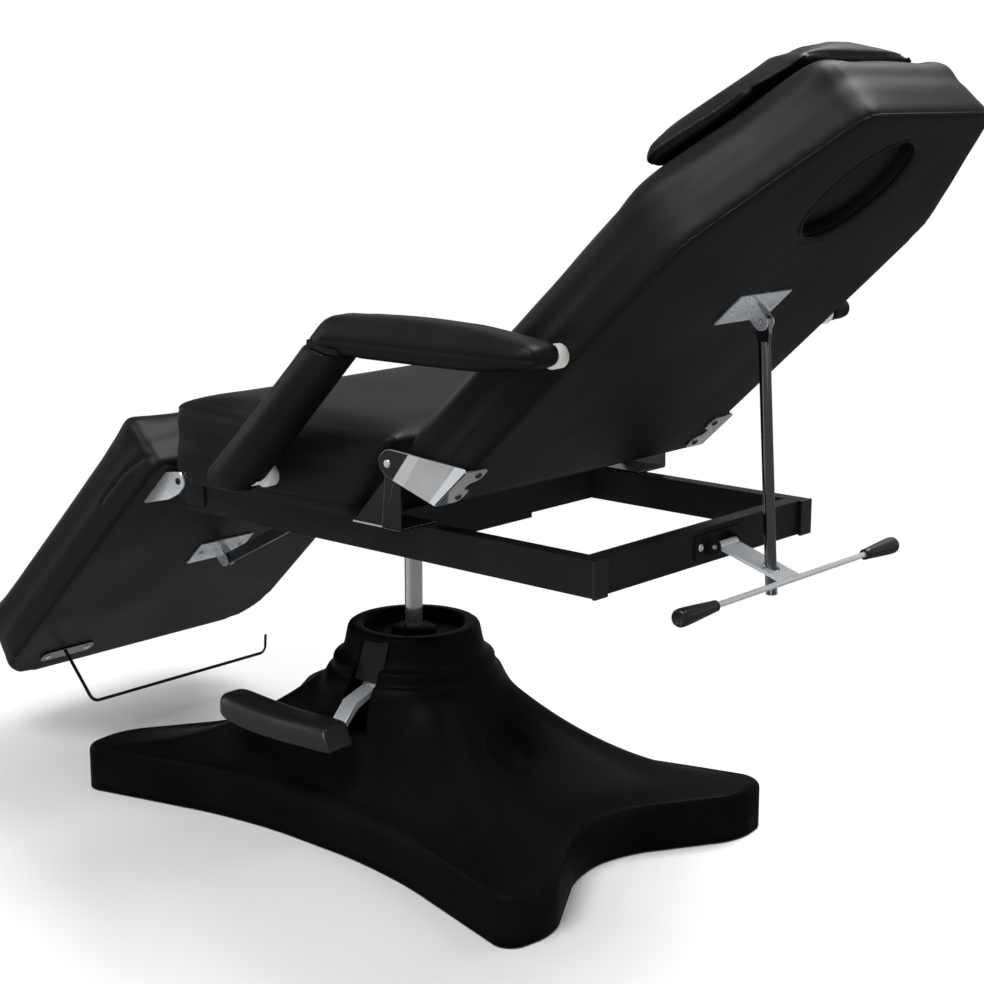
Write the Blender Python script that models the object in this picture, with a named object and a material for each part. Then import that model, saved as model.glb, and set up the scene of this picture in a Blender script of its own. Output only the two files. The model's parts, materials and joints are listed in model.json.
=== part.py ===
"""Hydraulic treatment table: base, lift column, seat frame, backrest, leg rest and armrests.

Metres, +Z up. The column stands on the origin, +X is the head end, -Y the near side.
"""
import math

import bmesh
import bpy
from mathutils import Matrix, Vector

for old in list(bpy.data.objects):
    bpy.data.objects.remove(old, do_unlink=True)

# Clearances
GAP = 0.0003
PIN_PLAY = 0.0004
SIDE_PLAY = 0.001
TURN_PLAY = 0.0015

# Base cover
COVER_FOOT_Z = 0.002
COVER_WALL = 0.0036
COVER_EDGE_Z = 0.075
COVER_EDGE_RADIUS = 0.011
COVER_SHORT_WAIST_X = 0.371
COVER_SHORT_WAIST_Y = 0.050
COVER_LONG_WAIST_X = 0.150
COVER_LONG_WAIST_Y = 0.223
COVER_TIP_END_X = 0.474
COVER_TIP_END_Y = 0.220
COVER_TIP_SIDE_X = 0.461
COVER_TIP_SIDE_Y = 0.308
COVER_TIP_RADIUS = 0.032
COVER_WAIST_RADIUS = 0.150
BELL_FOOT_RADIUS = 0.143
BELL_FOOT_Z = 0.220
BELL_LEDGE_Z = 0.256
BELL_LEDGE_RADIUS = 0.127
BELL_TOP_RADIUS = 0.104
BELL_TOP_Z = 0.305
BELL_RECESS_RADIUS = 0.076
BELL_RECESS_DEPTH = 0.016
COVER_SWEEP = 2.15
COVER_STEP = math.radians(12.0)
COVER_HOLE_PLAY = 0.004

# Base frame and pump
FOOT_BAR_WIDTH = 0.040
FOOT_BAR_HEIGHT = 0.028
FOOT_BAR_Z = 0.008
FOOT_PAD_RADIUS = 0.018
FOOT_PAD_X = 0.415
FOOT_PAD_Y = 0.236
CENTRE_PAD_RADIUS = 0.030
PUMP_RADIUS = 0.045
PUMP_TOP_Z = 0.2845
PUMP_FLOOR = 0.004
GLAND_RADIUS = 0.034
GLAND_HEIGHT = 0.010

# Lift piston
PISTON_RADIUS = 0.014
PISTON_FOOT_Z = 0.115

# Pedal
PEDAL_X = 0.010
PEDAL_PIVOT_Y = -0.100
PEDAL_PIVOT_Z = 0.226
PEDAL_PIN_RADIUS = 0.005
PEDAL_ARM_WIDTH = 0.028
PEDAL_ARM_THICK = 0.008
PEDAL_KNEE_Y = -0.150
PEDAL_KNEE_Z = 0.207
PEDAL_CHEEK = 0.005
PEDAL_PAD_INNER_Y = -0.178
PEDAL_PAD_OUTER_Y = -0.236
PEDAL_PAD_X0 = -0.208
PEDAL_PAD_X1 = 0.042
PEDAL_PAD_Z = 0.158
PEDAL_PAD_THICK = 0.038
PEDAL_SLOT_WIDTH = 0.046
PEDAL_SLOT_Z0 = 0.158
PEDAL_SLOT_Z1 = 0.274

# Seat frame of rectangular tube
RAIL_TOP = 0.540
RAIL_HEIGHT = 0.050
RAIL_WIDTH = 0.025
RAIL_WALL = 0.002
FRAME_HALF_WIDTH = 0.250
FRAME_FOOT_X = -0.240
FRAME_HEAD_X = 0.5535
CROSS_REAR_X = 0.173
CROSS_MID_X = -0.0475
STRIP_HEIGHT = 0.012
CAP_LENGTH = 0.005
CAP_LIP = 0.001
PLATE_THICK = 0.008
PLATE_HALF_WIDTH = 0.085
PLATE_MARGIN = 0.004
HUB_RADIUS = 0.030
HUB_LENGTH = 0.055

# Seat
CUSHION_HALF_WIDTH = 0.291
BOARD_INSET = 0.003
SEAT_BOARD_INSET = 0.014
SEAT_BOARD_THICK = 0.015
SEAT_FRONT_X = -0.225
SEAT_REAR_BOTTOM_X = 0.166
SEAT_REAR_TOP_X = 0.247
SEAT_THICK = 0.109
SEAT_EDGE = 0.012
SEAT_CROWN = 0.005
CUSHION_DRAW = 0.003
CUSHION_FOOT_EDGE = 0.004

# Backrest, measured along its length u and square to it v from the hinge axis
HINGE_X = 0.2425
HINGE_Z = 0.631
BACK_TILT = math.radians(43.0)
BACK_UNDERSIDE = -0.090
BACK_BOARD_THICK = 0.012
BACK_START = 0.020
BACK_LENGTH = 0.770
BACK_TAPER_START = BACK_LENGTH - 0.225
BACK_HEAD_HALF_WIDTH = 0.150
BACK_HEAD_RADIUS = 0.050
BACK_TAPER_RADIUS = 0.120
BACK_EDGE_V = 0.019
BACK_CROWN = 0.009
BACK_EDGE = 0.032
FACE_HOLE_U = BACK_LENGTH - 0.140
FACE_HOLE_HALF_LENGTH = 0.087
FACE_HOLE_HALF_WIDTH = 0.072
FACE_PLUG_RECESS = 0.016
FACE_PLUG_PLAY = 0.0012
PILLOW_START = BACK_LENGTH - 0.225
PILLOW_END = BACK_LENGTH - 0.028
PILLOW_HALF_WIDTH = 0.268
PILLOW_HEAD_HALF_WIDTH = 0.112
PILLOW_THICK = 0.040
PILLOW_CROWN = 0.012

# Backrest hinges
HINGE_PLATE = 0.003
HINGE_PIN_RADIUS = 0.006
HINGE_HEAD_RADIUS = 0.010
HINGE_HEAD = 0.0025
HINGE_EYE_RADIUS = 0.018
BRACKET_FOOT_X = 0.170
BRACKET_FOOT_INSET = 0.024
HINGE_ARM_U0 = 0.032
HINGE_ARM_U1 = 0.108
HINGE_FLANGE_INNER_Y = 0.2525

# Backrest strut and its lever
STRUT_Y = 0.022
STRUT_PIN_U = 0.4044
STRUT_PIN_V = -0.117
STRUT_GAP_ANGLE = math.radians(2.87)
STRUT_RADIUS = 0.008
STRUT_TAIL = 0.0354
STRUT_EYE_THICK = 0.008
STRUT_EYE_RADIUS = 0.010
STRUT_EYE_LENGTH = 0.026
STRUT_PIN_RADIUS = 0.004
NUT_RADIUS = 0.0125
NUT_HEIGHT = 0.008
CLEVIS_PLATE = 0.003
CLEVIS_HALF_WIDTH = 0.058
CLEVIS_HALF_LENGTH = 0.029
CLEVIS_EYE_RADIUS = 0.011
LEVER_PIVOT_X = 0.5685
LEVER_PIVOT_Z = 0.5155
LEVER_PLATE_WIDTH = 0.044
LEVER_PLATE_THICK = 0.005
LEVER_PLATE_END = 0.106
LEVER_EYE_RADIUS = 0.0065
LEVER_PIN_RADIUS = 0.003
LEVER_CHEEK = 0.003
LEVER_BACK = 0.003
LEVER_BACK_HALF_WIDTH = 0.052
LEVER_SLOT_PLAY = 0.005
TEE_RADIUS = 0.004
TEE_NEAR_Y = -0.162
TEE_FAR_Y = 0.214
GRIP_LENGTH = 0.095
GRIP_SMALL_RADIUS = 0.009
GRIP_LARGE_RADIUS = 0.015
GRIP_SOCKET = 0.024

# Leg rest, measured level from its hinge axis
LEG_HINGE_X = -0.2488
LEG_HINGE_Z = 0.5332
LEG_DROP = math.radians(44.0)
LEG_UNDERSIDE = 0.028
LEG_BOARD_THICK = 0.012
LEG_THICK = 0.095
LEG_EDGE = 0.018
LEG_SEAT_END = 0.010
LEG_LENGTH = 0.619
LEG_FOOT_RADIUS = 0.072
LEG_CROWN = 0.009
LUG_THICK = 0.003
LUG_TAIL = 0.055
LUG_EYE_RADIUS = 0.014
LEG_PIN_RADIUS = 0.005
LEG_ARM_NEAR = 0.020
LEG_ARM_FAR = 0.092
LEG_FLANGE_INNER_Y = 0.214
LEG_STRUT_PIN_X = -0.306
LEG_STRUT_PIN_DROP = 0.026
LEG_BAR_HEIGHT = 0.018
LEG_BAR_TAIL = 0.056
LEG_GUIDE_X = -0.130
LEG_GUIDE_Z = 0.498
SLEEVE_LENGTH = 0.024
SLEEVE_WALL = 0.003
SLEEVE_PLAY = 0.003
TRUNNION_RADIUS = 0.004
GUIDE_CHEEK = 0.003

# Paper roll holder under the leg rest
PAPER_X = 0.054 - LEG_LENGTH
PAPER_PLATE_LENGTH = 0.026
PAPER_PLATE_Y0 = -0.228
PAPER_PLATE_Y1 = -0.119
PAPER_PLATE_THICK = 0.003
PAPER_WIRE_RADIUS = 0.003
PAPER_WIRE_Y = -0.176
PAPER_DROP = 0.103
PAPER_SPAN = 0.381
PAPER_UPTURN = 0.022
PAPER_BEND = 0.012

# Armrests
ARM_INNER_Y = 0.3045
ARM_WIDTH = 0.064
ARM_HALF_THICK = 0.029
ARM_OVERHANG = 0.020
ARM_EDGE = 0.016
ARM_CROWN = 0.004
ARM_FOLD_GAP = 0.003
ARM_FOLD_DROP = 0.0212
ARM_FOLD_TILT = math.radians(-10.7)
ARM_ELBOW_RADIUS = 0.045
ARM_RISE = 0.004
ELBOW_X = 0.196
ELBOW_Z = 0.803
ARM_PIVOT_U = 0.3280
ARM_PIVOT_V = -0.0727
POST_PIVOT_X = 0.005
POST_PIVOT_Z = 0.583
POST_FOOT_X = -0.042
POST_FOOT_Z = 0.570
SPACER_RADIUS = 0.019
STUD_RADIUS = 0.006
STUD_LENGTH = 0.026

# Derived heights
RAIL_BOTTOM = RAIL_TOP - RAIL_HEIGHT
SEAT_BOARD_Z = RAIL_TOP + GAP
SEAT_Z = SEAT_BOARD_Z + SEAT_BOARD_THICK + GAP
SEAT_TOP = SEAT_Z + SEAT_THICK
PLATE_TOP = RAIL_BOTTOM - GAP
HINGE = (HINGE_X, 0.0, HINGE_Z)
LEG_HINGE = (LEG_HINGE_X, 0.0, LEG_HINGE_Z)
SIDES = (("near", -1.0), ("far", 1.0))


def material(name, colour, rough, metal=0.0):
    mat = bpy.data.materials.new(name)
    mat.use_nodes = True
    shader = mat.node_tree.nodes["Principled BSDF"]
    shader.inputs["Base Color"].default_value = (*colour, 1.0)
    shader.inputs["Roughness"].default_value = rough
    shader.inputs["Metallic"].default_value = metal
    mat.diffuse_color = (*colour, 1.0)
    return mat


VINYL = material("black_vinyl", (0.020, 0.020, 0.021), 0.42)
BOARD = material("board_cover", (0.012, 0.012, 0.012), 0.60)
PAINT = material("black_paint", (0.013, 0.013, 0.015), 0.38)
SHELL = material("black_shell", (0.006, 0.006, 0.007), 0.30)
PLASTIC = material("black_plastic", (0.012, 0.012, 0.013), 0.40)
GRIP = material("grip_plastic", (0.012, 0.012, 0.012), 0.45)
CHROME = material("chrome", (0.62, 0.63, 0.65), 0.12, 1.0)
ZINC = material("zinc_plate", (0.45, 0.47, 0.49), 0.34, 1.0)
STEEL = material("dark_steel", (0.10, 0.10, 0.11), 0.40, 1.0)
NYLON = material("white_nylon", (0.60, 0.60, 0.56), 0.45)


def make(name, bm, mat, pivot=(0.0, 0.0, 0.0), tilt=0.0, smooth=True):
    """Object with its origin on the pivot, tilted about Y so that +X goes up."""
    bmesh.ops.recalc_face_normals(bm, faces=bm.faces)
    mesh = bpy.data.meshes.new(name)
    bm.to_mesh(mesh)
    bm.free()
    mesh.materials.append(mat)
    if smooth:
        mesh.polygons.foreach_set("use_smooth", [True] * len(mesh.polygons))
        mesh.set_sharp_from_angle(angle=math.radians(38.0))
    obj = bpy.data.objects.new(name, mesh)
    bpy.context.scene.collection.objects.link(obj)
    obj.location = pivot
    obj.rotation_euler = (0.0, -tilt, 0.0)
    return obj


def shape(obj, bm, operation):
    """Cut a shape from an object, or join one to it, in the object's own frame."""
    name = obj.name + "_tool_" + str(len(obj.modifiers))
    tool = make(name, bm, obj.data.materials[0], obj.location, -obj.rotation_euler.y)
    tool.hide_render = True
    tool.display_type = "WIRE"
    step = obj.modifiers.new(operation.lower(), "BOOLEAN")
    step.operation = operation
    step.solver = "EXACT"
    step.object = tool
    return obj


def rounded(corners, radii, steps):
    """Outline with an arc of steps + 1 points at each corner."""
    points = []
    count = len(corners)
    for i in range(count):
        here = Vector(corners[i])
        back = Vector(corners[i - 1]) - here
        on = Vector(corners[(i + 1) % count]) - here
        reach = 0.49 * min(back.length, on.length)
        a = back.normalized()
        b = on.normalized()
        half = math.acos(max(-1.0, min(1.0, a.dot(b)))) / 2.0
        radius = min(radii[i], reach * math.tan(half))
        run = radius / math.tan(half)
        first = here + a * run
        centre = here + (a + b).normalized() * (radius / math.sin(half))
        start = math.atan2(first.y - centre.y, first.x - centre.x)
        last = here + b * run
        turn = math.atan2(last.y - centre.y, last.x - centre.x) - start
        turn = (turn + math.pi) % (2.0 * math.pi) - math.pi
        for k in range(steps + 1):
            angle = start + turn * k / steps
            points.append((centre.x + radius * math.cos(angle), centre.y + radius * math.sin(angle)))
    return points


def shrunk(corners, inset):
    """Counter-clockwise outline with every side moved inward."""
    lines = []
    count = len(corners)
    for i in range(count):
        a = Vector(corners[i])
        side = (Vector(corners[(i + 1) % count]) - a).normalized()
        lines.append((a + Vector((-side.y, side.x)) * inset, side))
    moved = []
    for i in range(count):
        p, d = lines[i - 1]
        q, e = lines[i]
        cross = d.x * e.y - d.y * e.x
        t = ((q.x - p.x) * e.y - (q.y - p.y) * e.x) / cross
        moved.append((p.x + d.x * t, p.y + d.y * t))
    return moved


def stack(bm, rings, closed=False):
    """Skin over rings of equal counts, capped at both ends or closed on itself."""
    loops = [[bm.verts.new(point) for point in ring] for ring in rings]
    count = len(loops[0])
    pairs = list(zip(loops, loops[1:]))
    if closed:
        pairs.append((loops[-1], loops[0]))
    else:
        bm.faces.new(loops[0][::-1])
        bm.faces.new(loops[-1])
    for low, high in pairs:
        for i in range(count):
            j = (i + 1) % count
            bm.faces.new((low[i], low[j], high[j], high[i]))
    return bm


def prism(points, place):
    """Solid between the two faces that place(a, b, 0) and place(a, b, 1) give."""
    return stack(bmesh.new(), [[place(a, b, t) for a, b in points] for t in (0.0, 1.0)])


def block(x0, x1, y0, y1, z0, z1):
    """Plain box."""
    bm = bmesh.new()
    bmesh.ops.create_cube(bm, size=1.0)
    size = Matrix.Diagonal((x1 - x0, y1 - y0, z1 - z0, 1.0))
    middle = Matrix.Translation(((x0 + x1) / 2.0, (y0 + y1) / 2.0, (z0 + z1) / 2.0))
    bmesh.ops.transform(bm, matrix=middle @ size, verts=bm.verts)
    return bm


def disc(radius, count):
    """Points of a circle round the origin."""
    turn = 2.0 * math.pi / count
    return [(radius * math.cos(turn * k), radius * math.sin(turn * k)) for k in range(count)]


def pin_y(x, z, radius, y0, y1, count=16):
    """Round bar along Y."""
    circle = disc(radius, count)
    return prism(circle, lambda a, b, t: (x + a, y0 + (y1 - y0) * t, z + b))


def turned(profile, count, place):
    """Solid of revolution of (radius, length) points; open ends lie on the axis."""
    rings = []
    for radius, length in profile:
        rings.append([place(a, b, length) for a, b in disc(radius, count)])
    return rings


def along_y(x, z):
    return lambda a, b, length: (x + a, length, z + b)


def upright(a, b, length):
    return (a, b, length)


def quarter(radius, steps):
    """Inset and drop of a rounded edge, from the side to the face."""
    turn = math.pi / 2.0 / steps
    return [(radius * (1.0 - math.cos(turn * k)), radius * (1.0 - math.sin(turn * k)))
            for k in range(steps + 1)]


def pad_levels(bottom, top, edge, crown, run):
    """Inset and height of a cushion's rings: rounded foot, seam drawn in, rounded top, crown."""
    levels = [(inset, bottom + drop) for inset, drop in reversed(quarter(CUSHION_FOOT_EDGE, 2))]
    seam = (bottom + top) / 2.0
    swell = (top - bottom) / 6.0
    levels += [(0.0, seam - swell), (CUSHION_DRAW, seam), (0.0, seam + swell)]
    levels += [(inset, top - drop) for inset, drop in quarter(edge, 3)]
    for part in (0.3, 0.65, 1.0):
        levels.append((edge + run * part, top + crown * (1.0 - (1.0 - part) ** 2)))
    return levels


def pad(corners_at, radii, levels, steps, place):
    """Cushion skinned over inset copies of its outline."""
    rings = []
    for inset, height in levels:
        corners = shrunk(corners_at(height), inset)
        radius = [max(r - inset, 0.006) for r in radii]
        rings.append([place(a, b, height) for a, b in rounded(corners, radius, steps)])
    return stack(bmesh.new(), rings)


def tube(x0, x1, y0, y1, z0, z1, axis):
    """Rectangular tube, open at both ends of its axis."""
    low = [x0, y0, z0]
    high = [x1, y1, z1]
    across = [i for i in range(3) if i != axis]

    def ring(wall, end):
        points = []
        for i, j in ((0, 0), (1, 0), (1, 1), (0, 1)):
            point = [0.0, 0.0, 0.0]
            point[axis] = end
            for side, pick in zip(across, (i, j)):
                point[side] = high[side] - wall if pick else low[side] + wall
            points.append(point)
        return points

    a = low[axis]
    b = high[axis]
    rings = [ring(0.0, a), ring(0.0, b), ring(RAIL_WALL, b), ring(RAIL_WALL, a)]
    return stack(bmesh.new(), rings, closed=True)


# Base cover: rings run from the floor edge over the feet to the bell and back inside
def cover_outline():
    quarter_corners = [
        (COVER_SHORT_WAIST_X, COVER_SHORT_WAIST_Y),
        (COVER_TIP_END_X, COVER_TIP_END_Y),
        (COVER_TIP_SIDE_X, COVER_TIP_SIDE_Y),
        (COVER_LONG_WAIST_X, COVER_LONG_WAIST_Y),
    ]
    radii = [COVER_WAIST_RADIUS, COVER_TIP_RADIUS, COVER_TIP_RADIUS, COVER_WAIST_RADIUS]
    corners = list(quarter_corners)
    corners += [(-x, y) for x, y in reversed(quarter_corners)]
    corners += [(-x, -y) for x, y in quarter_corners]
    corners += [(x, -y) for x, y in reversed(quarter_corners)]
    rough = rounded(corners, radii + radii[::-1] + radii + radii[::-1], 3)
    points = []
    for here, after in zip(rough, rough[1:] + rough[:1]):
        a = Vector(here)
        b = Vector(after)
        count = max(1, math.ceil(a.angle(b) / COVER_STEP))
        points += [tuple(a.lerp(b, k / count)) for k in range(count)]
    return points


def cover_profile(reach):
    """Radius and height from the floor edge at this reach up to the rim and the recess."""
    points = [(reach, COVER_FOOT_Z)]
    points += [(reach - inset, COVER_EDGE_Z - drop) for inset, drop in quarter(COVER_EDGE_RADIUS, 2)]
    edge = reach - COVER_EDGE_RADIUS
    for part in (0.3, 0.55, 0.75, 0.9, 1.0):
        rise = (BELL_FOOT_Z - COVER_EDGE_Z) * part ** COVER_SWEEP
        points.append((edge + (BELL_FOOT_RADIUS - edge) * part, COVER_EDGE_Z + rise))
    step = BELL_LEDGE_RADIUS - BELL_TOP_RADIUS
    points.append((BELL_LEDGE_RADIUS, BELL_LEDGE_Z - 0.4 * step))
    points.append((BELL_LEDGE_RADIUS - 0.2 * step, BELL_LEDGE_Z))
    points.append((BELL_TOP_RADIUS + 0.3 * step, BELL_LEDGE_Z + 0.4 * step))
    points.append((BELL_TOP_RADIUS, BELL_TOP_Z - 0.3 * step))
    points.append((BELL_TOP_RADIUS - 0.3 * step, BELL_TOP_Z))
    points.append((BELL_RECESS_RADIUS + 0.3 * step, BELL_TOP_Z))
    points.append((BELL_RECESS_RADIUS, BELL_TOP_Z - BELL_RECESS_DEPTH))
    points.append((PISTON_RADIUS + COVER_HOLE_PLAY, BELL_TOP_Z - BELL_RECESS_DEPTH))
    return points


def inner_profile(points):
    """The same profile one wall thickness inside."""
    moved = [(points[0][0] - COVER_WALL, points[0][1])]
    for before, here, after in zip(points, points[1:], points[2:-4]):
        a = (Vector(here) - Vector(before)).normalized()
        b = (Vector(after) - Vector(here)).normalized()
        normal = (Vector((-a.y, a.x)) + Vector((-b.y, b.x))).normalized()
        wall = COVER_WALL / max(0.6, normal.dot(Vector((-a.y, a.x))))
        moved.append((here[0] + normal.x * wall, here[1] + normal.y * wall))
    ceiling = points[-1][1] - COVER_WALL
    moved.append((BELL_TOP_RADIUS - COVER_WALL, ceiling))
    moved.append((points[-1][0], ceiling))
    return moved


cover_rings = []
for x, y in cover_outline():
    reach = math.hypot(x, y)
    outer = cover_profile(reach)
    loop = outer + inner_profile(outer)[::-1]
    cover_rings.append([(x / reach * r, y / reach * r, z) for r, z in loop])
cover = make("base_cover", stack(bmesh.new(), cover_rings, closed=True), SHELL)
slot = PEDAL_SLOT_WIDTH / 2.0
shape(cover, block(PEDAL_X - slot, PEDAL_X + slot, -COVER_LONG_WAIST_Y, PEDAL_PIVOT_Y + 0.02,
                   PEDAL_SLOT_Z0, PEDAL_SLOT_Z1), "DIFFERENCE")

# Base frame: two crossed bars with a foot pad under each end
bar_reach = math.hypot(FOOT_PAD_X, FOOT_PAD_Y) + FOOT_PAD_RADIUS
bar_angle = math.atan2(FOOT_PAD_Y, FOOT_PAD_X)


def foot_bar(angle):
    bm = block(-bar_reach, bar_reach, -FOOT_BAR_WIDTH / 2.0, FOOT_BAR_WIDTH / 2.0,
               FOOT_BAR_Z, FOOT_BAR_Z + FOOT_BAR_HEIGHT)
    bmesh.ops.rotate(bm, verts=bm.verts, cent=(0, 0, 0), matrix=Matrix.Rotation(angle, 3, "Z"))
    return bm


base_frame = make("base_frame", foot_bar(bar_angle), STEEL)
shape(base_frame, foot_bar(-bar_angle), "UNION")
for sx in (-1.0, 1.0):
    for sy in (-1.0, 1.0):
        circle = [(sx * FOOT_PAD_X + a, sy * FOOT_PAD_Y + b) for a, b in disc(FOOT_PAD_RADIUS, 12)]
        shape(base_frame, prism(circle, lambda a, b, t: (a, b, (FOOT_BAR_Z + 0.002) * t)), "UNION")

shape(base_frame, prism(disc(CENTRE_PAD_RADIUS, 20), lambda a, b, t: (a, b, (FOOT_BAR_Z + 0.002) * t)), "UNION")

# Pump with the bore of the lift piston and the two cheeks of the pedal
pump_z = FOOT_BAR_Z + FOOT_BAR_HEIGHT + GAP
bore = PISTON_RADIUS + PIN_PLAY
pump_rings = turned([(PUMP_RADIUS, pump_z), (PUMP_RADIUS, PUMP_TOP_Z), (bore, PUMP_TOP_Z),
                     (bore, pump_z + PUMP_FLOOR)], 24, upright)
pump = make("pump_cylinder", stack(bmesh.new(), pump_rings), STEEL)
cheek_in = PEDAL_ARM_WIDTH / 2.0 + SIDE_PLAY
eye = PEDAL_PIN_RADIUS + 0.008
for s in (-1.0, 1.0):
    a = PEDAL_X + s * cheek_in
    b = PEDAL_X + s * (cheek_in + PEDAL_CHEEK)
    outline = rounded([(PEDAL_PIVOT_Y - eye, PEDAL_PIVOT_Z - eye), (-PISTON_RADIUS - 0.010, PEDAL_PIVOT_Z - eye),
                       (-PISTON_RADIUS - 0.010, PEDAL_PIVOT_Z + eye), (PEDAL_PIVOT_Y - eye, PEDAL_PIVOT_Z + eye)],
                      [eye * 0.9, 0.001, 0.001, eye * 0.9], 4)
    shape(pump, prism(outline, lambda p, q, t: (min(a, b) + abs(b - a) * t, p, q)), "UNION")


def pin_x(y, z, radius, x0, x1, count=16):
    return prism(disc(radius, count), lambda a, b, t: (x0 + (x1 - x0) * t, y + a, z + b))


cheek_out = cheek_in + PEDAL_CHEEK
shape(pump, pin_x(PEDAL_PIVOT_Y, PEDAL_PIVOT_Z, PEDAL_PIN_RADIUS + PIN_PLAY,
                  PEDAL_X - cheek_out - 0.01, PEDAL_X + cheek_out + 0.01), "DIFFERENCE")
make("pedal_pin", pin_x(PEDAL_PIVOT_Y, PEDAL_PIVOT_Z, PEDAL_PIN_RADIUS,
                        PEDAL_X - cheek_out, PEDAL_X + cheek_out), ZINC)

# Gland round the piston, in the recess of the bell
gland_z = BELL_TOP_Z - BELL_RECESS_DEPTH + GAP
gland_rings = turned([(bore, gland_z), (GLAND_RADIUS, gland_z), (GLAND_RADIUS, gland_z + GLAND_HEIGHT * 0.6),
                      (GLAND_RADIUS - 0.008, gland_z + GLAND_HEIGHT), (bore, gland_z + GLAND_HEIGHT)],
                     24, upright)
make("column_gland", stack(bmesh.new(), gland_rings, closed=True), PLASTIC)

# Pedal: knuckle on the pin, bar bent down through the slot, foot pad along X
pedal_pivot = (PEDAL_X, PEDAL_PIVOT_Y, PEDAL_PIVOT_Z)
knee = Vector((PEDAL_KNEE_Y - PEDAL_PIVOT_Y, PEDAL_KNEE_Z - PEDAL_PIVOT_Z))
arm_end_y = PEDAL_PAD_INNER_Y + GAP - PEDAL_PIVOT_Y
arm_end_z = PEDAL_PAD_Z + PEDAL_PAD_THICK * 0.55 - PEDAL_PIVOT_Z
half_arm = PEDAL_ARM_THICK / 2.0
arm_points = [(0.0, -half_arm), (0.0, half_arm), (knee.x - 0.002, knee.y + half_arm + 0.002),
              (arm_end_y, arm_end_z + half_arm * 1.5), (arm_end_y, arm_end_z - half_arm * 1.5),
              (knee.x + 0.002, knee.y - half_arm - 0.001)]
half_width = PEDAL_ARM_WIDTH / 2.0
pedal_arm = make("pedal_arm", prism(arm_points, lambda p, q, t: (PEDAL_ARM_WIDTH * t - half_width, p, q)),
                 ZINC, pedal_pivot)
knuckle = pin_x(0.0, 0.0, PEDAL_PIN_RADIUS + 0.005, -half_width, half_width, 20)
shape(pedal_arm, knuckle, "UNION")
shape(pedal_arm, pin_x(0.0, 0.0, PEDAL_PIN_RADIUS + PIN_PLAY, -2 * half_width, 2 * half_width), "DIFFERENCE")
foot_corners = [(PEDAL_PAD_X0 - PEDAL_X, PEDAL_PAD_OUTER_Y - PEDAL_PIVOT_Y),
                (PEDAL_PAD_X1 - PEDAL_X, PEDAL_PAD_OUTER_Y - PEDAL_PIVOT_Y),
                (PEDAL_PAD_X1 - PEDAL_X, PEDAL_PAD_INNER_Y - PEDAL_PIVOT_Y),
                (PEDAL_PAD_X0 - PEDAL_X, PEDAL_PAD_INNER_Y - PEDAL_PIVOT_Y)]
pad_edge = PEDAL_PAD_THICK * 0.3
pedal_levels = [(i, d) for i, d in reversed(quarter(pad_edge, 2))]
pedal_levels += [(i, PEDAL_PAD_THICK - d) for i, d in quarter(pad_edge, 2)]
make("pedal_pad", pad(lambda h: foot_corners, [0.026, 0.020, 0.012, 0.026], pedal_levels, 4,
                      lambda a, b, h: (a, b, PEDAL_PAD_Z - PEDAL_PIVOT_Z + h)), PLASTIC, pedal_pivot)

# Lift piston, from the pump's bore to the hub under the column plate
piston_top = PLATE_TOP - PLATE_THICK - GAP
make("lift_piston", prism(disc(PISTON_RADIUS, 24),
                          lambda a, b, t: (a, b, PISTON_FOOT_Z + (piston_top - PISTON_FOOT_Z) * t)), CHROME)

# Seat frame
inner_y = FRAME_HALF_WIDTH - RAIL_WIDTH
for side, s in SIDES:
    ys = sorted((s * inner_y, s * FRAME_HALF_WIDTH))
    make("side_rail_" + side, tube(FRAME_FOOT_X, FRAME_HEAD_X, ys[0], ys[1], RAIL_BOTTOM, RAIL_TOP, 0),
         PAINT, smooth=False)
    make("rail_cap_" + side, block(FRAME_HEAD_X + GAP, FRAME_HEAD_X + GAP + CAP_LENGTH, ys[0] - CAP_LIP,
                                   ys[1] + CAP_LIP, RAIL_BOTTOM - CAP_LIP, RAIL_TOP), PLASTIC, smooth=False)
reach_y = inner_y - GAP
cross_x = {"head_rail": FRAME_HEAD_X - CAP_LIP, "cross_rear": CROSS_REAR_X, "cross_mid": CROSS_MID_X}
for name, x in cross_x.items():
    make(name, tube(x - RAIL_WIDTH, x, -reach_y, reach_y, RAIL_BOTTOM, RAIL_TOP, 1), PAINT, smooth=False)
make("foot_strip", block(FRAME_FOOT_X, FRAME_FOOT_X + RAIL_WIDTH, -reach_y, reach_y,
                         RAIL_TOP - STRIP_HEIGHT, RAIL_TOP), PAINT, smooth=False)
plate = make("column_plate", block(CROSS_MID_X - RAIL_WIDTH - PLATE_MARGIN, CROSS_REAR_X - PLATE_MARGIN,
                                   -PLATE_HALF_WIDTH, PLATE_HALF_WIDTH, PLATE_TOP - PLATE_THICK, PLATE_TOP), PAINT)
hub_z = PLATE_TOP - PLATE_THICK - HUB_LENGTH
shape(plate, prism(disc(HUB_RADIUS, 24), lambda a, b, t: (a, b, hub_z + (HUB_LENGTH + PLATE_THICK / 2.0) * t)),
      "UNION")
shape(plate, prism(disc(bore, 24), lambda a, b, t: (a, b, hub_z - 0.01 + (HUB_LENGTH + 0.01) * t)), "DIFFERENCE")

# Seat board and cushion; the cushion's rear face leans back over the backrest hinge
board_y = CUSHION_HALF_WIDTH - SEAT_BOARD_INSET
board_front = SEAT_FRONT_X + SEAT_BOARD_INSET
board_rear = SEAT_REAR_BOTTOM_X - SEAT_BOARD_INSET
seat_corners = [(board_front, -board_y), (board_rear, -board_y), (board_rear, board_y), (board_front, board_y)]
make("seat_board", prism(rounded(seat_corners, [0.02] * 4, 4),
                         lambda a, b, t: (a, b, SEAT_BOARD_Z + SEAT_BOARD_THICK * t)), BOARD)


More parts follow.
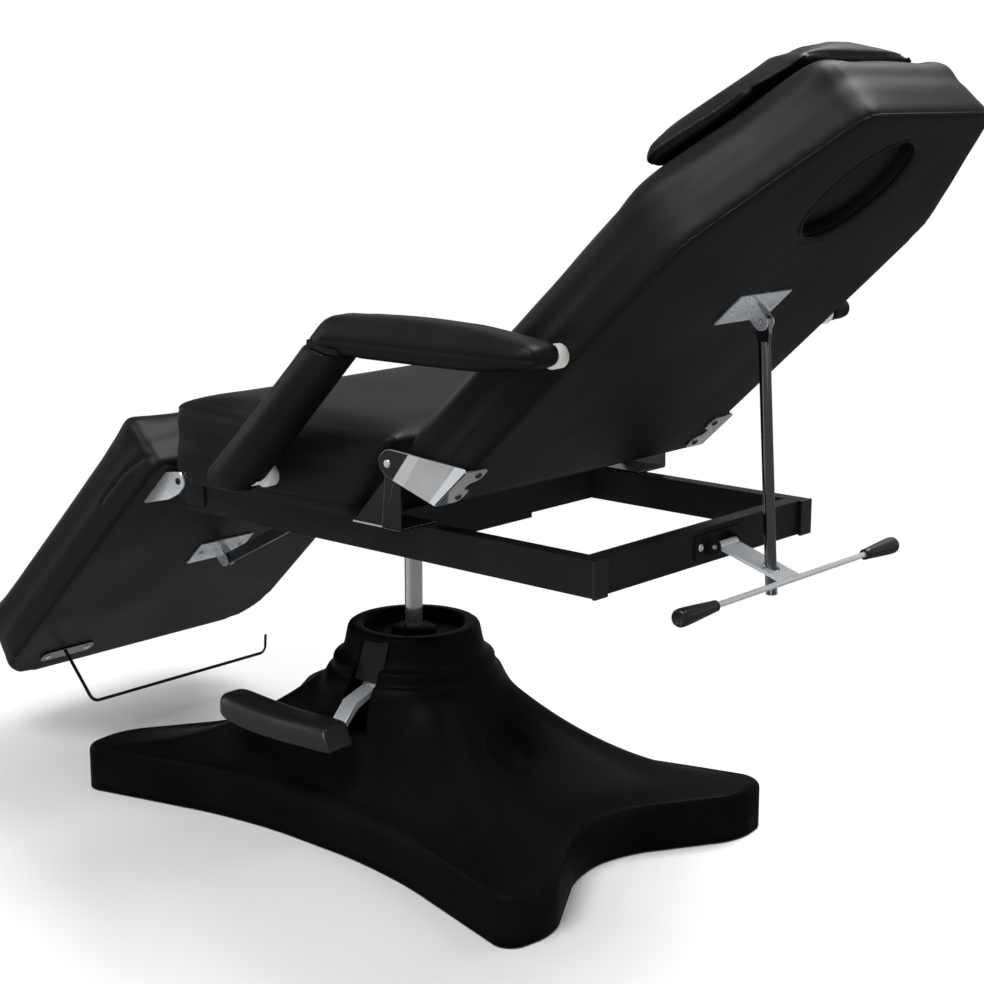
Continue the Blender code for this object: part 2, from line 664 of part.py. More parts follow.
def seat_outline(height):
    part = (height - SEAT_Z) / SEAT_THICK
    rear = SEAT_REAR_BOTTOM_X + (SEAT_REAR_TOP_X - SEAT_REAR_BOTTOM_X) * min(part, 1.0)
    w = CUSHION_HALF_WIDTH
    return [(SEAT_FRONT_X, -w), (rear, -w), (rear, w), (SEAT_FRONT_X, w)]


make("seat_cushion", pad(seat_outline, [0.020] * 4, pad_levels(SEAT_Z, SEAT_TOP, SEAT_EDGE, SEAT_CROWN, 0.13), 4,
                         lambda a, b, h: (a, b, h)), VINYL)

# Backrest hinges: bracket with a rivet on each rail, arm with a flange under the backrest
plate_in = CUSHION_HALF_WIDTH + TURN_PLAY
plate_out = plate_in + HINGE_PLATE
arm_in = plate_out + SIDE_PLAY
arm_out = arm_in + HINGE_PLATE
for side, s in SIDES:
    def flat(y0, y1, s=s):
        return lambda a, b, t: (a, s * (y0 + (y1 - y0) * t), b)

    foot = RAIL_TOP + GAP - HINGE_Z
    lean = HINGE_X + HINGE_ARM_U0 + HINGE_EYE_RADIUS - HINGE_X
    web = [(-HINGE_EYE_RADIUS, foot), (HINGE_EYE_RADIUS, foot), (lean + 0.012, foot + 0.022),
           (lean + 0.026, foot + 0.044), (lean + 0.008, foot + 0.060),
           (HINGE_EYE_RADIUS, HINGE_EYE_RADIUS), (-HINGE_EYE_RADIUS, HINGE_EYE_RADIUS)]
    web = rounded(web, [0.001, 0.004, 0.01, 0.006, 0.01, HINGE_EYE_RADIUS * 0.9, HINGE_EYE_RADIUS * 0.9], 3)
    bracket = make("hinge_bracket_" + side, prism(web, flat(plate_in, plate_out)), CHROME, HINGE)
    ys = sorted((s * (FRAME_HALF_WIDTH - BRACKET_FOOT_INSET), s * plate_out))
    shape(bracket, block(BRACKET_FOOT_X - HINGE_X, HINGE_EYE_RADIUS, ys[0], ys[1], foot, foot + HINGE_PLATE), "UNION")
    ys = sorted((s * (plate_in + 0.001), s * (arm_out + PIN_PLAY + HINGE_HEAD)))
    shape(bracket, pin_y(0.0, 0.0, HINGE_PIN_RADIUS, ys[0], ys[1]), "UNION")
    ys = sorted((s * (arm_out + PIN_PLAY), s * (arm_out + PIN_PLAY + HINGE_HEAD)))
    shape(bracket, pin_y(0.0, 0.0, HINGE_HEAD_RADIUS, ys[0], ys[1], 20), "UNION")

    under = BACK_UNDERSIDE - GAP
    web = [(-0.014, -0.012), (HINGE_ARM_U0, under - HINGE_PLATE), (HINGE_ARM_U1, under - HINGE_PLATE),
           (HINGE_ARM_U1, under + 0.004), (0.016, 0.012), (0.006, 0.018), (-0.016, 0.014)]
    web = rounded(web, [0.012, 0.002, 0.003, 0.003, 0.01, 0.008, 0.012], 3)
    arm = make("hinge_arm_" + side, prism(web, flat(arm_in, arm_out)), CHROME, HINGE, BACK_TILT)
    ys = sorted((s * HINGE_FLANGE_INNER_Y, s * arm_out))
    shape(arm, block(HINGE_ARM_U0 + 0.001, HINGE_ARM_U1 - 0.001, ys[0], ys[1], under - HINGE_PLATE, under), "UNION")
    ys = sorted((s * (arm_in - 0.01), s * (arm_out + 0.01)))
    shape(arm, pin_y(0.0, 0.0, HINGE_PIN_RADIUS + PIN_PLAY, ys[0], ys[1]), "DIFFERENCE")

# Backrest board, cushion, face hole, plug and pillow
def back_outline(inset):
    w = CUSHION_HALF_WIDTH
    n = BACK_HEAD_HALF_WIDTH
    return shrunk([(BACK_START, -w), (BACK_TAPER_START, -w), (BACK_LENGTH, -n),
                   (BACK_LENGTH, n), (BACK_TAPER_START, w), (BACK_START, w)], inset)


back_radii = [0.016, BACK_TAPER_RADIUS, BACK_HEAD_RADIUS, BACK_HEAD_RADIUS, BACK_TAPER_RADIUS, 0.016]
back_pad_v = BACK_UNDERSIDE + BACK_BOARD_THICK + GAP
outline = rounded(back_outline(BOARD_INSET), back_radii, 4)
board = make("back_board", prism(outline, lambda a, b, t: (a, b, BACK_UNDERSIDE + BACK_BOARD_THICK * t)),
             BOARD, HINGE, BACK_TILT)
cushion = make("back_cushion", pad(lambda h: back_outline(0.0), back_radii,
                                   pad_levels(back_pad_v, BACK_EDGE_V, BACK_EDGE, BACK_CROWN, 0.09), 4,
                                   lambda a, b, h: (a, b, h)), VINYL, HINGE, BACK_TILT)


def face_oval(play):
    a = FACE_HOLE_HALF_LENGTH - play
    b = FACE_HOLE_HALF_WIDTH - play
    return [(FACE_HOLE_U + a * x, b * y) for x, y in disc(1.0, 36)]


for obj in (board, cushion):
    shape(obj, prism(face_oval(0.0), lambda a, b, t: (a, b, BACK_UNDERSIDE - 0.05 + 0.25 * t)), "DIFFERENCE")
plug_low = BACK_UNDERSIDE + FACE_PLUG_RECESS
make("face_plug", prism(face_oval(FACE_PLUG_PLAY),
                        lambda a, b, t: (a, b, plug_low + (BACK_EDGE_V + BACK_CROWN - plug_low) * t)),
     VINYL, HINGE, BACK_TILT)
pillow_v = BACK_EDGE_V + BACK_CROWN + GAP
pillow_corners = [(PILLOW_START, -PILLOW_HALF_WIDTH), (PILLOW_END, -PILLOW_HEAD_HALF_WIDTH),
                  (PILLOW_END, PILLOW_HEAD_HALF_WIDTH), (PILLOW_START, PILLOW_HALF_WIDTH)]
pillow_levels = [(0.022, 0.0), (0.010, 0.005), (0.002, 0.012), (0.0, 0.017), (0.004, 0.024), (0.014, 0.031)]
pillow_levels += [(0.030, PILLOW_THICK), (0.055, PILLOW_THICK + PILLOW_CROWN * 0.75),
                  (0.080, PILLOW_THICK + PILLOW_CROWN)]
make("pillow", pad(lambda h: pillow_corners, [0.022, 0.040, 0.040, 0.022], pillow_levels, 4,
                   lambda a, b, h: (a, b, pillow_v + h)), VINYL, HINGE, BACK_TILT)


def clevis(name, at, drop, pivot, tilt, under):
    """Screwed plate under a board with two cheeks that carry a pin at a drop below it."""
    top = under - GAP
    low = top - CLEVIS_PLATE
    obj = make(name, block(at - CLEVIS_HALF_LENGTH, at + CLEVIS_HALF_LENGTH, STRUT_Y - CLEVIS_HALF_WIDTH,
                           STRUT_Y + CLEVIS_HALF_WIDTH, low, top), ZINC, pivot, tilt)
    r = CLEVIS_EYE_RADIUS
    pin = under - drop
    web = rounded([(at - r, pin - r), (at + r, pin - r), (at + r, top - CLEVIS_PLATE / 2.0),
                   (at - r, top - CLEVIS_PLATE / 2.0)], [r * 0.95, r * 0.95, 0.0005, 0.0005], 4)
    inside = STRUT_EYE_THICK / 2.0 + TURN_PLAY
    for s in (-1.0, 1.0):
        y0 = STRUT_Y + s * inside
        y1 = STRUT_Y + s * (inside + CLEVIS_PLATE)
        shape(obj, prism(web, lambda a, b, t: (a, y0 + (y1 - y0) * t, b)), "UNION")
    reach = inside + CLEVIS_PLATE
    hole = STRUT_PIN_RADIUS + PIN_PLAY
    shape(obj, pin_y(at, pin, hole, STRUT_Y - reach - 0.01, STRUT_Y + reach + 0.01), "DIFFERENCE")
    make(name.replace("clevis", "pin"), pin_y(at, pin, STRUT_PIN_RADIUS, STRUT_Y - reach - 0.002,
                                              STRUT_Y + reach + 0.002), ZINC, pivot, tilt)


clevis("strut_clevis", STRUT_PIN_U, BACK_UNDERSIDE - STRUT_PIN_V, HINGE, BACK_TILT, BACK_UNDERSIDE)

# Strut: its pin and its lever slot lie on one circle round the hinge
strut_reach = math.hypot(STRUT_PIN_U, STRUT_PIN_V)
pin_angle = BACK_TILT + math.atan2(STRUT_PIN_V, STRUT_PIN_U)
strut_pin = Vector((HINGE_X + strut_reach * math.cos(pin_angle), HINGE_Z + strut_reach * math.sin(pin_angle)))
slot_angle = math.atan2(STRUT_PIN_V, STRUT_PIN_U) - STRUT_GAP_ANGLE
lever_slot = Vector((HINGE_X + strut_reach * math.cos(slot_angle), HINGE_Z + strut_reach * math.sin(slot_angle)))
strut_line = lever_slot - strut_pin
strut_tilt = math.atan2(strut_line.y, strut_line.x)
strut_pivot = (strut_pin.x, 0.0, strut_pin.y)
strut_length = strut_line.length + STRUT_TAIL
rod = make("strut_rod", prism(disc(STRUT_RADIUS, 20), lambda a, b, t: (
    STRUT_EYE_LENGTH + (strut_length - STRUT_EYE_LENGTH) * t, STRUT_Y + a, b)), CHROME, strut_pivot, strut_tilt)
r = STRUT_EYE_RADIUS
eye_outline = rounded([(-r, -r), (STRUT_EYE_LENGTH * 0.6, -r), (STRUT_EYE_LENGTH + 0.010, -STRUT_RADIUS * 0.8),
                       (STRUT_EYE_LENGTH + 0.010, STRUT_RADIUS * 0.8), (STRUT_EYE_LENGTH * 0.6, r), (-r, r)],
                      [r * 0.95, 0.004, 0.001, 0.001, 0.004, r * 0.95], 4)
shape(rod, prism(eye_outline, lambda a, b, t: (a, STRUT_Y + STRUT_EYE_THICK * (t - 0.5), b)), "UNION")
shape(rod, pin_y(0.0, 0.0, STRUT_PIN_RADIUS + PIN_PLAY, STRUT_Y - 0.02, STRUT_Y + 0.02), "DIFFERENCE")
nut_rings = [[(strut_length - NUT_HEIGHT * t, STRUT_Y + a, b) for a, b in disc(radius, 18)]
             for radius, t in ((STRUT_RADIUS + GAP, 0.0), (NUT_RADIUS, 0.0), (NUT_RADIUS, 1.0),
                               (STRUT_RADIUS + GAP, 1.0))]
make("strut_stop", stack(bmesh.new(), nut_rings, closed=True), STEEL, strut_pivot, strut_tilt)

# Release lever: bracket on the head rail, slotted plate on its pin, tee bar with two grips
lever_pivot = (LEVER_PIVOT_X, 0.0, LEVER_PIVOT_Z)
lever_line = lever_slot - Vector((LEVER_PIVOT_X, LEVER_PIVOT_Z))
lever_tilt = math.atan2(lever_line.y, lever_line.x)
rail_face = cross_x["head_rail"] + GAP - LEVER_PIVOT_X
half_plate = LEVER_PLATE_WIDTH / 2.0
lever_cheek_in = half_plate + SIDE_PLAY
drop = LEVER_EYE_RADIUS + 0.010
lever_bracket = make("lever_bracket", block(rail_face, rail_face + LEVER_BACK, STRUT_Y - LEVER_BACK_HALF_WIDTH,
                                            STRUT_Y + LEVER_BACK_HALF_WIDTH, -drop, drop), PAINT, lever_pivot)
r = LEVER_EYE_RADIUS + 0.001
web = rounded([(rail_face + LEVER_BACK / 2.0, -drop * 0.9), (r, -r), (r, r), (rail_face + LEVER_BACK / 2.0, drop * 0.9)],
              [0.0005, r * 0.9, r * 0.9, 0.0005], 4)
for s in (-1.0, 1.0):
    y0 = STRUT_Y + s * lever_cheek_in
    y1 = STRUT_Y + s * (lever_cheek_in + LEVER_CHEEK)
    shape(lever_bracket, prism(web, lambda a, b, t: (a, y0 + (y1 - y0) * t, b)), "UNION")
pin_reach = lever_cheek_in + LEVER_CHEEK
shape(lever_bracket, pin_y(0.0, 0.0, LEVER_PIN_RADIUS + PIN_PLAY, STRUT_Y - 2 * pin_reach, STRUT_Y + 2 * pin_reach),
      "DIFFERENCE")
make("lever_pin", pin_y(0.0, 0.0, LEVER_PIN_RADIUS, STRUT_Y - pin_reach - 0.002, STRUT_Y + pin_reach + 0.002),
     ZINC, lever_pivot)
lever_plate = make("lever_plate", block(0.0, LEVER_PLATE_END, STRUT_Y - half_plate, STRUT_Y + half_plate,
                                        -LEVER_PLATE_THICK / 2.0, LEVER_PLATE_THICK / 2.0),
                   ZINC, lever_pivot, lever_tilt)
shape(lever_plate, pin_y(0.0, 0.0, LEVER_EYE_RADIUS, STRUT_Y - half_plate, STRUT_Y + half_plate, 20), "UNION")
shape(lever_plate, pin_y(0.0, 0.0, LEVER_PIN_RADIUS + PIN_PLAY, STRUT_Y - 0.05, STRUT_Y + 0.05), "DIFFERENCE")
slot_half_y = STRUT_RADIUS + 0.0013
slot_half_x = STRUT_RADIUS + LEVER_SLOT_PLAY
slot_outline = rounded([(lever_line.length - slot_half_x, STRUT_Y - slot_half_y),
                        (lever_line.length + slot_half_x, STRUT_Y - slot_half_y),
                        (lever_line.length + slot_half_x, STRUT_Y + slot_half_y),
                        (lever_line.length - slot_half_x, STRUT_Y + slot_half_y)], [slot_half_y * 0.95] * 4, 4)
shape(lever_plate, prism(slot_outline, lambda a, b, t: (a, b, 0.04 * (t - 0.5))), "DIFFERENCE")
tee_x = LEVER_PLATE_END + GAP + TEE_RADIUS
make("tee_bar", pin_y(tee_x, 0.0, TEE_RADIUS, TEE_NEAR_Y, TEE_FAR_Y), ZINC, lever_pivot, lever_tilt)
for side, end, s in (("near", TEE_NEAR_Y, -1.0), ("far", TEE_FAR_Y, 1.0)):
    mouth = end - s * GRIP_SOCKET
    tip = mouth + s * GRIP_LENGTH
    socket = TEE_RADIUS + GAP
    profile = [(GRIP_SMALL_RADIUS - 0.002, mouth), (GRIP_SMALL_RADIUS, mouth + s * 0.003),
               (GRIP_SMALL_RADIUS * 0.5 + GRIP_LARGE_RADIUS * 0.5, (mouth + tip) / 2.0),
               (GRIP_LARGE_RADIUS, tip - s * 0.012), (GRIP_LARGE_RADIUS * 0.85, tip - s * 0.004),
               (GRIP_LARGE_RADIUS * 0.45, tip)]
    profile = [(socket, end + s * GAP), (socket, mouth)] + profile
    make("grip_" + side, stack(bmesh.new(), turned(profile, 16, along_y(tee_x, 0.0))), GRIP, lever_pivot, lever_tilt)

# Leg rest board and cushion
def leg_outline(inset):
    w = CUSHION_HALF_WIDTH
    return shrunk([(-LEG_LENGTH, -w), (LEG_SEAT_END, -w), (LEG_SEAT_END, w), (-LEG_LENGTH, w)], inset)


leg_radii = [LEG_FOOT_RADIUS, 0.016, 0.016, LEG_FOOT_RADIUS]
outline = rounded(leg_outline(BOARD_INSET), leg_radii, 5)
make("leg_board", prism(outline, lambda a, b, t: (a, b, LEG_UNDERSIDE + LEG_BOARD_THICK * t)),
     BOARD, LEG_HINGE, LEG_DROP)
leg_pad = LEG_UNDERSIDE + LEG_BOARD_THICK + GAP
make("leg_cushion", pad(lambda h: leg_outline(0.0), leg_radii,
                        pad_levels(leg_pad, leg_pad + LEG_THICK, LEG_EDGE, LEG_CROWN, 0.13), 5,
                        lambda a, b, h: (a, b, h)), VINYL, LEG_HINGE, LEG_DROP)

# Leg rest hinges: lug with its pin on each rail's outer face, arm with a flange under the board
lug_in = FRAME_HALF_WIDTH + GAP
lug_out = lug_in + LUG_THICK
leg_arm_in = lug_out + SIDE_PLAY
leg_arm_out = leg_arm_in + LUG_THICK
for side, s in SIDES:
    def flat(y0, y1, s=s):
        return lambda a, b, t: (a, s * (y0 + (y1 - y0) * t), b)

    low = RAIL_BOTTOM + 0.010 - LEG_HINGE_Z
    high = RAIL_TOP - 0.002 - LEG_HINGE_Z
    r = LUG_EYE_RADIUS
    web = [(-r, low + 0.016), (r, low), (LUG_TAIL, low), (LUG_TAIL, high), (r + 0.004, high), (r * 0.6, r), (-r, r)]
    web = rounded(web, [r * 0.9, 0.006, 0.004, 0.004, 0.003, 0.006, r * 0.9], 3)
    lug = make("leg_lug_" + side, prism(web, flat(lug_in, lug_out)), PAINT, LEG_HINGE)
    ys = sorted((s * (lug_in + 0.001), s * (leg_arm_out + 0.002)))
    shape(lug, pin_y(0.0, 0.0, LEG_PIN_RADIUS, ys[0], ys[1]), "UNION")
    under = LEG_UNDERSIDE - GAP
    web = [(-r * 0.9, -r), (r * 0.9, -r), (r * 0.9, r * 0.6), (-LEG_ARM_NEAR + 0.006, under), (-LEG_ARM_FAR, under),
           (-LEG_ARM_FAR, under - LUG_THICK), (-LEG_ARM_NEAR - 0.020, -r * 0.4)]
    web = rounded(web, [r * 0.8, r * 0.8, 0.006, 0.002, 0.001, 0.001, 0.01], 3)
    arm = make("leg_arm_" + side, prism(web, flat(leg_arm_in, leg_arm_out)), ZINC, LEG_HINGE, LEG_DROP)
    ys = sorted((s * LEG_FLANGE_INNER_Y, s * leg_arm_out))
    shape(arm, block(-LEG_ARM_FAR, -LEG_ARM_NEAR, ys[0], ys[1], under - LUG_THICK, under), "UNION")
    ys = sorted((s * (leg_arm_in - 0.01), s * (leg_arm_out + 0.01)))
    shape(arm, pin_y(0.0, 0.0, LEG_PIN_RADIUS + PIN_PLAY, ys[0], ys[1]), "DIFFERENCE")

# Leg strut: flat bar from the clevis under the leg rest through a sleeve on trunnions
clevis("leg_clevis", LEG_STRUT_PIN_X, LEG_STRUT_PIN_DROP, LEG_HINGE, LEG_DROP, LEG_UNDERSIDE)
leg_pin = Matrix.Rotation(LEG_DROP, 2) @ Vector((LEG_STRUT_PIN_X, LEG_UNDERSIDE - LEG_STRUT_PIN_DROP))
leg_pin += Vector((LEG_HINGE_X, LEG_HINGE_Z))
guide = Vector((LEG_GUIDE_X, LEG_GUIDE_Z))
bar_line = guide - leg_pin
bar_tilt = math.atan2(bar_line.y, bar_line.x)
half_bar = LEG_BAR_HEIGHT / 2.0
outline = rounded([(-half_bar, -half_bar), (bar_line.length + LEG_BAR_TAIL, -half_bar),
                   (bar_line.length + LEG_BAR_TAIL, half_bar), (-half_bar, half_bar)],
                  [half_bar * 0.95, 0.003, 0.003, half_bar * 0.95], 4)
bar = make("leg_strut", prism(outline, lambda a, b, t: (a, STRUT_Y + STRUT_EYE_THICK * (t - 0.5), b)),
           STEEL, (leg_pin.x, 0.0, leg_pin.y), bar_tilt)
shape(bar, pin_y(0.0, 0.0, STRUT_PIN_RADIUS + PIN_PLAY, STRUT_Y - 0.02, STRUT_Y + 0.02), "DIFFERENCE")
guide_pivot = (LEG_GUIDE_X, 0.0, LEG_GUIDE_Z)
slot_y = STRUT_EYE_THICK / 2.0 + SIDE_PLAY
slot_z = half_bar + SLEEVE_PLAY
sleeve_y = slot_y + SLEEVE_WALL
sleeve_rings = [[(x, STRUT_Y + y, z) for y, z in ((-w, -h), (w, -h), (w, h), (-w, h))]
                for x, w, h in ((-SLEEVE_LENGTH / 2.0, sleeve_y, slot_z + SLEEVE_WALL),
                                (SLEEVE_LENGTH / 2.0, sleeve_y, slot_z + SLEEVE_WALL),
                                (SLEEVE_LENGTH / 2.0, slot_y, slot_z), (-SLEEVE_LENGTH / 2.0, slot_y, slot_z))]
sleeve = make("leg_sleeve", stack(bmesh.new(), sleeve_rings, closed=True), STEEL, guide_pivot, bar_tilt)
guide_in = sleeve_y + SIDE_PLAY
for s in (-1.0, 1.0):
    ys = sorted((STRUT_Y + s * (sleeve_y - SLEEVE_WALL / 2.0), STRUT_Y + s * (guide_in + GUIDE_CHEEK)))
    shape(sleeve, pin_y(0.0, 0.0, TRUNNION_RADIUS, ys[0], ys[1]), "UNION")
guide_top = SEAT_BOARD_Z - GAP - LEG_GUIDE_Z
r = TRUNNION_RADIUS + 0.008
wide = guide_in + GUIDE_CHEEK
bracket = make("leg_guide", block(-r - 0.004, r + 0.004, STRUT_Y - wide - 0.016, STRUT_Y + wide + 0.016,
                                  guide_top - GUIDE_CHEEK, guide_top), PAINT, guide_pivot)
web = rounded([(-r, -r), (r, -r), (r, guide_top - GUIDE_CHEEK / 2.0), (-r, guide_top - GUIDE_CHEEK / 2.0)],
              [r * 0.9, r * 0.9, 0.0005, 0.0005], 4)
for s in (-1.0, 1.0):
    y0 = STRUT_Y + s * guide_in
    y1 = STRUT_Y + s * wide
    shape(bracket, prism(web, lambda a, b, t: (a, y0 + (y1 - y0) * t, b)), "UNION")
shape(bracket, pin_y(0.0, 0.0, TRUNNION_RADIUS + PIN_PLAY, STRUT_Y - 2 * wide, STRUT_Y + 2 * wide), "DIFFERENCE")

# Paper roll holder: plate and bent wire under the leg rest
paper_top = LEG_UNDERSIDE - GAP
paper_low = paper_top - PAPER_PLATE_THICK
make("paper_plate", block(PAPER_X - PAPER_PLATE_LENGTH / 2.0, PAPER_X + PAPER_PLATE_LENGTH / 2.0,
                          PAPER_PLATE_Y0, PAPER_PLATE_Y1, paper_low, paper_top), ZINC, LEG_HINGE, LEG_DROP,
     smooth=False)
wire_top = paper_low - GAP
wire_low = wire_top - PAPER_DROP
wire_end = PAPER_WIRE_Y + PAPER_SPAN
wire_path = [(PAPER_WIRE_Y, wire_top)]
for k in range(5):
    angle = math.pi * (1.0 + k / 8.0)
    wire_path.append((PAPER_WIRE_Y + PAPER_BEND * (1.0 + math.cos(angle)),
                      wire_low + PAPER_BEND * (1.0 + math.sin(angle))))
for k in range(5):
    angle = math.pi * (1.5 + k / 8.0)
    wire_path.append((wire_end - PAPER_BEND * (1.0 - math.cos(angle)),
                      wire_low + PAPER_BEND * (1.0 + math.sin(angle))))
wire_path.append((wire_end, wire_low + PAPER_BEND + PAPER_UPTURN))
wire_rings = []
for i, point in enumerate(wire_path):
    here = Vector(point)
    before = Vector(wire_path[max(i - 1, 0)])
    after = Vector(wire_path[min(i + 1, len(wire_path) - 1)])
    line = (after - before).normalized()
    normal = Vector((-line.y, line.x))
    wire_rings.append([(PAPER_X + a, here.x + normal.x * b, here.y + normal.y * b)
                       for a, b in disc(PAPER_WIRE_RADIUS, 8)])
make("paper_wire", stack(bmesh.new(), wire_rings), CHROME, LEG_HINGE, LEG_DROP)

# Armrests: post on the seat's side, arm on the backrest's side, folded together at the elbow
arm_pivot = Matrix.Rotation(BACK_TILT, 2) @ Vector((ARM_PIVOT_U, ARM_PIVOT_V)) + Vector((HINGE_X, HINGE_Z))
elbow = Vector((ELBOW_X, ELBOW_Z))
post_pivot = Vector((POST_PIVOT_X, POST_PIVOT_Z))
post_foot = Vector((POST_FOOT_X, POST_FOOT_Z))
arm_levels = [(i, d) for i, d in reversed(quarter(ARM_EDGE, 2))]
arm_levels += [(i, ARM_WIDTH - ARM_CROWN - d) for i, d in quarter(ARM_EDGE, 2)]
arm_levels.append((ARM_EDGE + 0.008, ARM_WIDTH))


def crossing(a, along, b, on):
    """Point where the line through a meets the line through b."""
    return a + along * ((b - a).cross(on) / along.cross(on))


# Outlines of both bars with their outer edges meeting at the elbow, and the fold that parts them
post_line = (elbow - post_foot).normalized()
post_side = Vector((-post_line.y, post_line.x)) * ARM_HALF_THICK
arm_end = arm_pivot + Vector((0.0, ARM_RISE))
arm_line = (arm_end - elbow).normalized()
arm_side = Vector((-arm_line.y, arm_line.x)) * ARM_HALF_THICK
arm_tip = arm_end + arm_line * ARM_OVERHANG
fold_line = Vector((math.cos(ARM_FOLD_TILT), math.sin(ARM_FOLD_TILT)))
fold_up = Vector((-fold_line.y, fold_line.x))
fold_mid = elbow - Vector((0.0, ARM_FOLD_DROP))
arm_corners = [crossing(elbow - arm_side, arm_line, elbow - post_side, post_line), arm_tip - arm_side,
               arm_tip + arm_side, crossing(elbow + arm_side, arm_line, elbow + post_side, post_line),
               elbow + post_side - post_line * (5.0 * ARM_HALF_THICK)]
foot_side = Vector((ARM_HALF_THICK / post_line.y, 0.0))
post_top = elbow + post_line * (2.0 * ARM_EDGE)
post_corners = [post_foot - foot_side, post_foot + foot_side, post_top - post_side, post_top + post_side]


def fold_cut(pivot, way, s):
    """Block that ends half the fold's gap past the fold, on one side of it."""
    near = fold_mid - pivot - fold_up * (way * ARM_FOLD_GAP / 2.0)
    far = near + fold_up * (way * 6.0 * ARM_HALF_THICK)
    reach = fold_line * (6.0 * ARM_HALF_THICK)
    y0 = s * (ARM_INNER_Y - ARM_EDGE)
    y1 = s * (ARM_INNER_Y + ARM_WIDTH + ARM_EDGE)
    return prism([tuple(near - reach), tuple(near + reach), tuple(far + reach), tuple(far - reach)],
                 lambda a, b, t: (a, y0 + (y1 - y0) * t, b))


for side, s in SIDES:
    def outward(a, b, h, s=s):
        return (a, s * (ARM_INNER_Y + h), b)

    corners = [tuple(c - arm_pivot) for c in arm_corners]
    arm = make("arm_pad_" + side, pad(lambda h: corners, [0.010, 0.024, 0.024, ARM_ELBOW_RADIUS, 0.010],
                                      arm_levels, 4, outward), VINYL, (arm_pivot.x, 0.0, arm_pivot.y))
    shape(arm, fold_cut(arm_pivot, -1.0, s), "DIFFERENCE")
    corners_post = [tuple(c - post_pivot) for c in post_corners]
    post = make("arm_post_" + side, pad(lambda h: corners_post, [0.020, 0.022, 0.010, 0.010], arm_levels, 4, outward),
                VINYL, (post_pivot.x, 0.0, post_pivot.y))
    shape(post, fold_cut(post_pivot, 1.0, s), "DIFFERENCE")
    hole_ys = sorted((s * (ARM_INNER_Y - 0.01), s * (ARM_INNER_Y + STUD_LENGTH + GAP)))
    for padded in (arm, post):
        shape(padded, pin_y(0.0, 0.0, STUD_RADIUS + PIN_PLAY, hole_ys[0], hole_ys[1]), "DIFFERENCE")
    inner = s * (CUSHION_HALF_WIDTH + GAP)
    face = s * (ARM_INNER_Y - GAP)
    tip = s * (ARM_INNER_Y + STUD_LENGTH)
    profile = [(SPACER_RADIUS, inner), (SPACER_RADIUS, face), (STUD_RADIUS, face), (STUD_RADIUS, tip)]
    for name, pivot in (("back_spacer_", arm_pivot), ("seat_spacer_", post_pivot)):
        rings = turned(profile, 24, along_y(0.0, 0.0))
        make(name + side, stack(bmesh.new(), rings), NYLON, (pivot.x, 0.0, pivot.y))
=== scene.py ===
"""Upholstery, fittings, finishes and stage of a padded treatment table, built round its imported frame."""

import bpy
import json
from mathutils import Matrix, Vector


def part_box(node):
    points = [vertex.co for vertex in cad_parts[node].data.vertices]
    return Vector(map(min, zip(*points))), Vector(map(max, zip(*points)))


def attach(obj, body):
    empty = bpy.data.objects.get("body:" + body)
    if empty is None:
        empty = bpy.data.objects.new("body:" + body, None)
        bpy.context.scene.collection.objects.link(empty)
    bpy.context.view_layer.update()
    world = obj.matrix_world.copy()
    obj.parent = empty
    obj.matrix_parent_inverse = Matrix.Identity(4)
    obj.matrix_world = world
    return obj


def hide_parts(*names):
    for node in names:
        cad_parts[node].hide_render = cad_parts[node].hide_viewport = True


bl_info = {
    "name": "Treatment table looks",
    "version": (1, 0, 0),
    "blender": (4, 5, 0),
    "location": "3D View > Sidebar > Table",
    "description": "Upholstery, fittings, finishes and stage of a padded treatment table",
    "category": "Object",
}

import json
import math

import bmesh
import bpy
import numpy as np
from bpy.props import FloatProperty, FloatVectorProperty, IntProperty, PointerProperty
from mathutils import Matrix, Vector
from mathutils.bvhtree import BVHTree
from mathutils.kdtree import KDTree

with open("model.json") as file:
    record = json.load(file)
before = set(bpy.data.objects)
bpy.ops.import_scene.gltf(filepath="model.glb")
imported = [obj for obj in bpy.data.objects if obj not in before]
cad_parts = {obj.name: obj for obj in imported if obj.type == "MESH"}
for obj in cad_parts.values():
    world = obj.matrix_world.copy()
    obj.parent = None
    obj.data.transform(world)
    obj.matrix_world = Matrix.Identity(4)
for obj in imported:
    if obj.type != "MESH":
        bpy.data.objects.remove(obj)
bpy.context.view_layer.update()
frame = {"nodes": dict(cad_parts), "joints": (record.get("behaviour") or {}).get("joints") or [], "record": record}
JOINT_AT = {joint["name"]: Vector(joint.get("pos_m", (0.0, 0.0, 0.0))) for joint in frame["joints"]}
SLOTS = {part["node"]: part["material_slot"] for part in frame["record"]["subparts"]}
BODY_OF = {node: body for body, nodes in frame["record"]["behaviour"]["bodies"].items() for node in nodes}
SIDES = (("near", -1.0), ("far", 1.0))
CUSHION_HALF_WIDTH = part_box("back_cushion")[1].y
FINISHES = {"vinyl": "black vinyl", "board": "board cloth", "paint": "powder coat", "shell": "moulded cover",
            "plastic": "black plastic", "chrome": "chrome plate", "zinc": "zinc plate", "steel": "dark steel",
            "nylon": "white nylon"}

# Slack seam on each side of the leg pad, along and up in the leg rest's own frame
LEG_SIDE_SEAM = ((-0.142, 0.069), (-0.095, 0.069), (-0.052, 0.066), (0.0, 0.054))
# Distance given to the points that a seam doesn't reach
OFF_SEAM = 1.0
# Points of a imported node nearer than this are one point
MERGE_DISTANCE = 2e-5

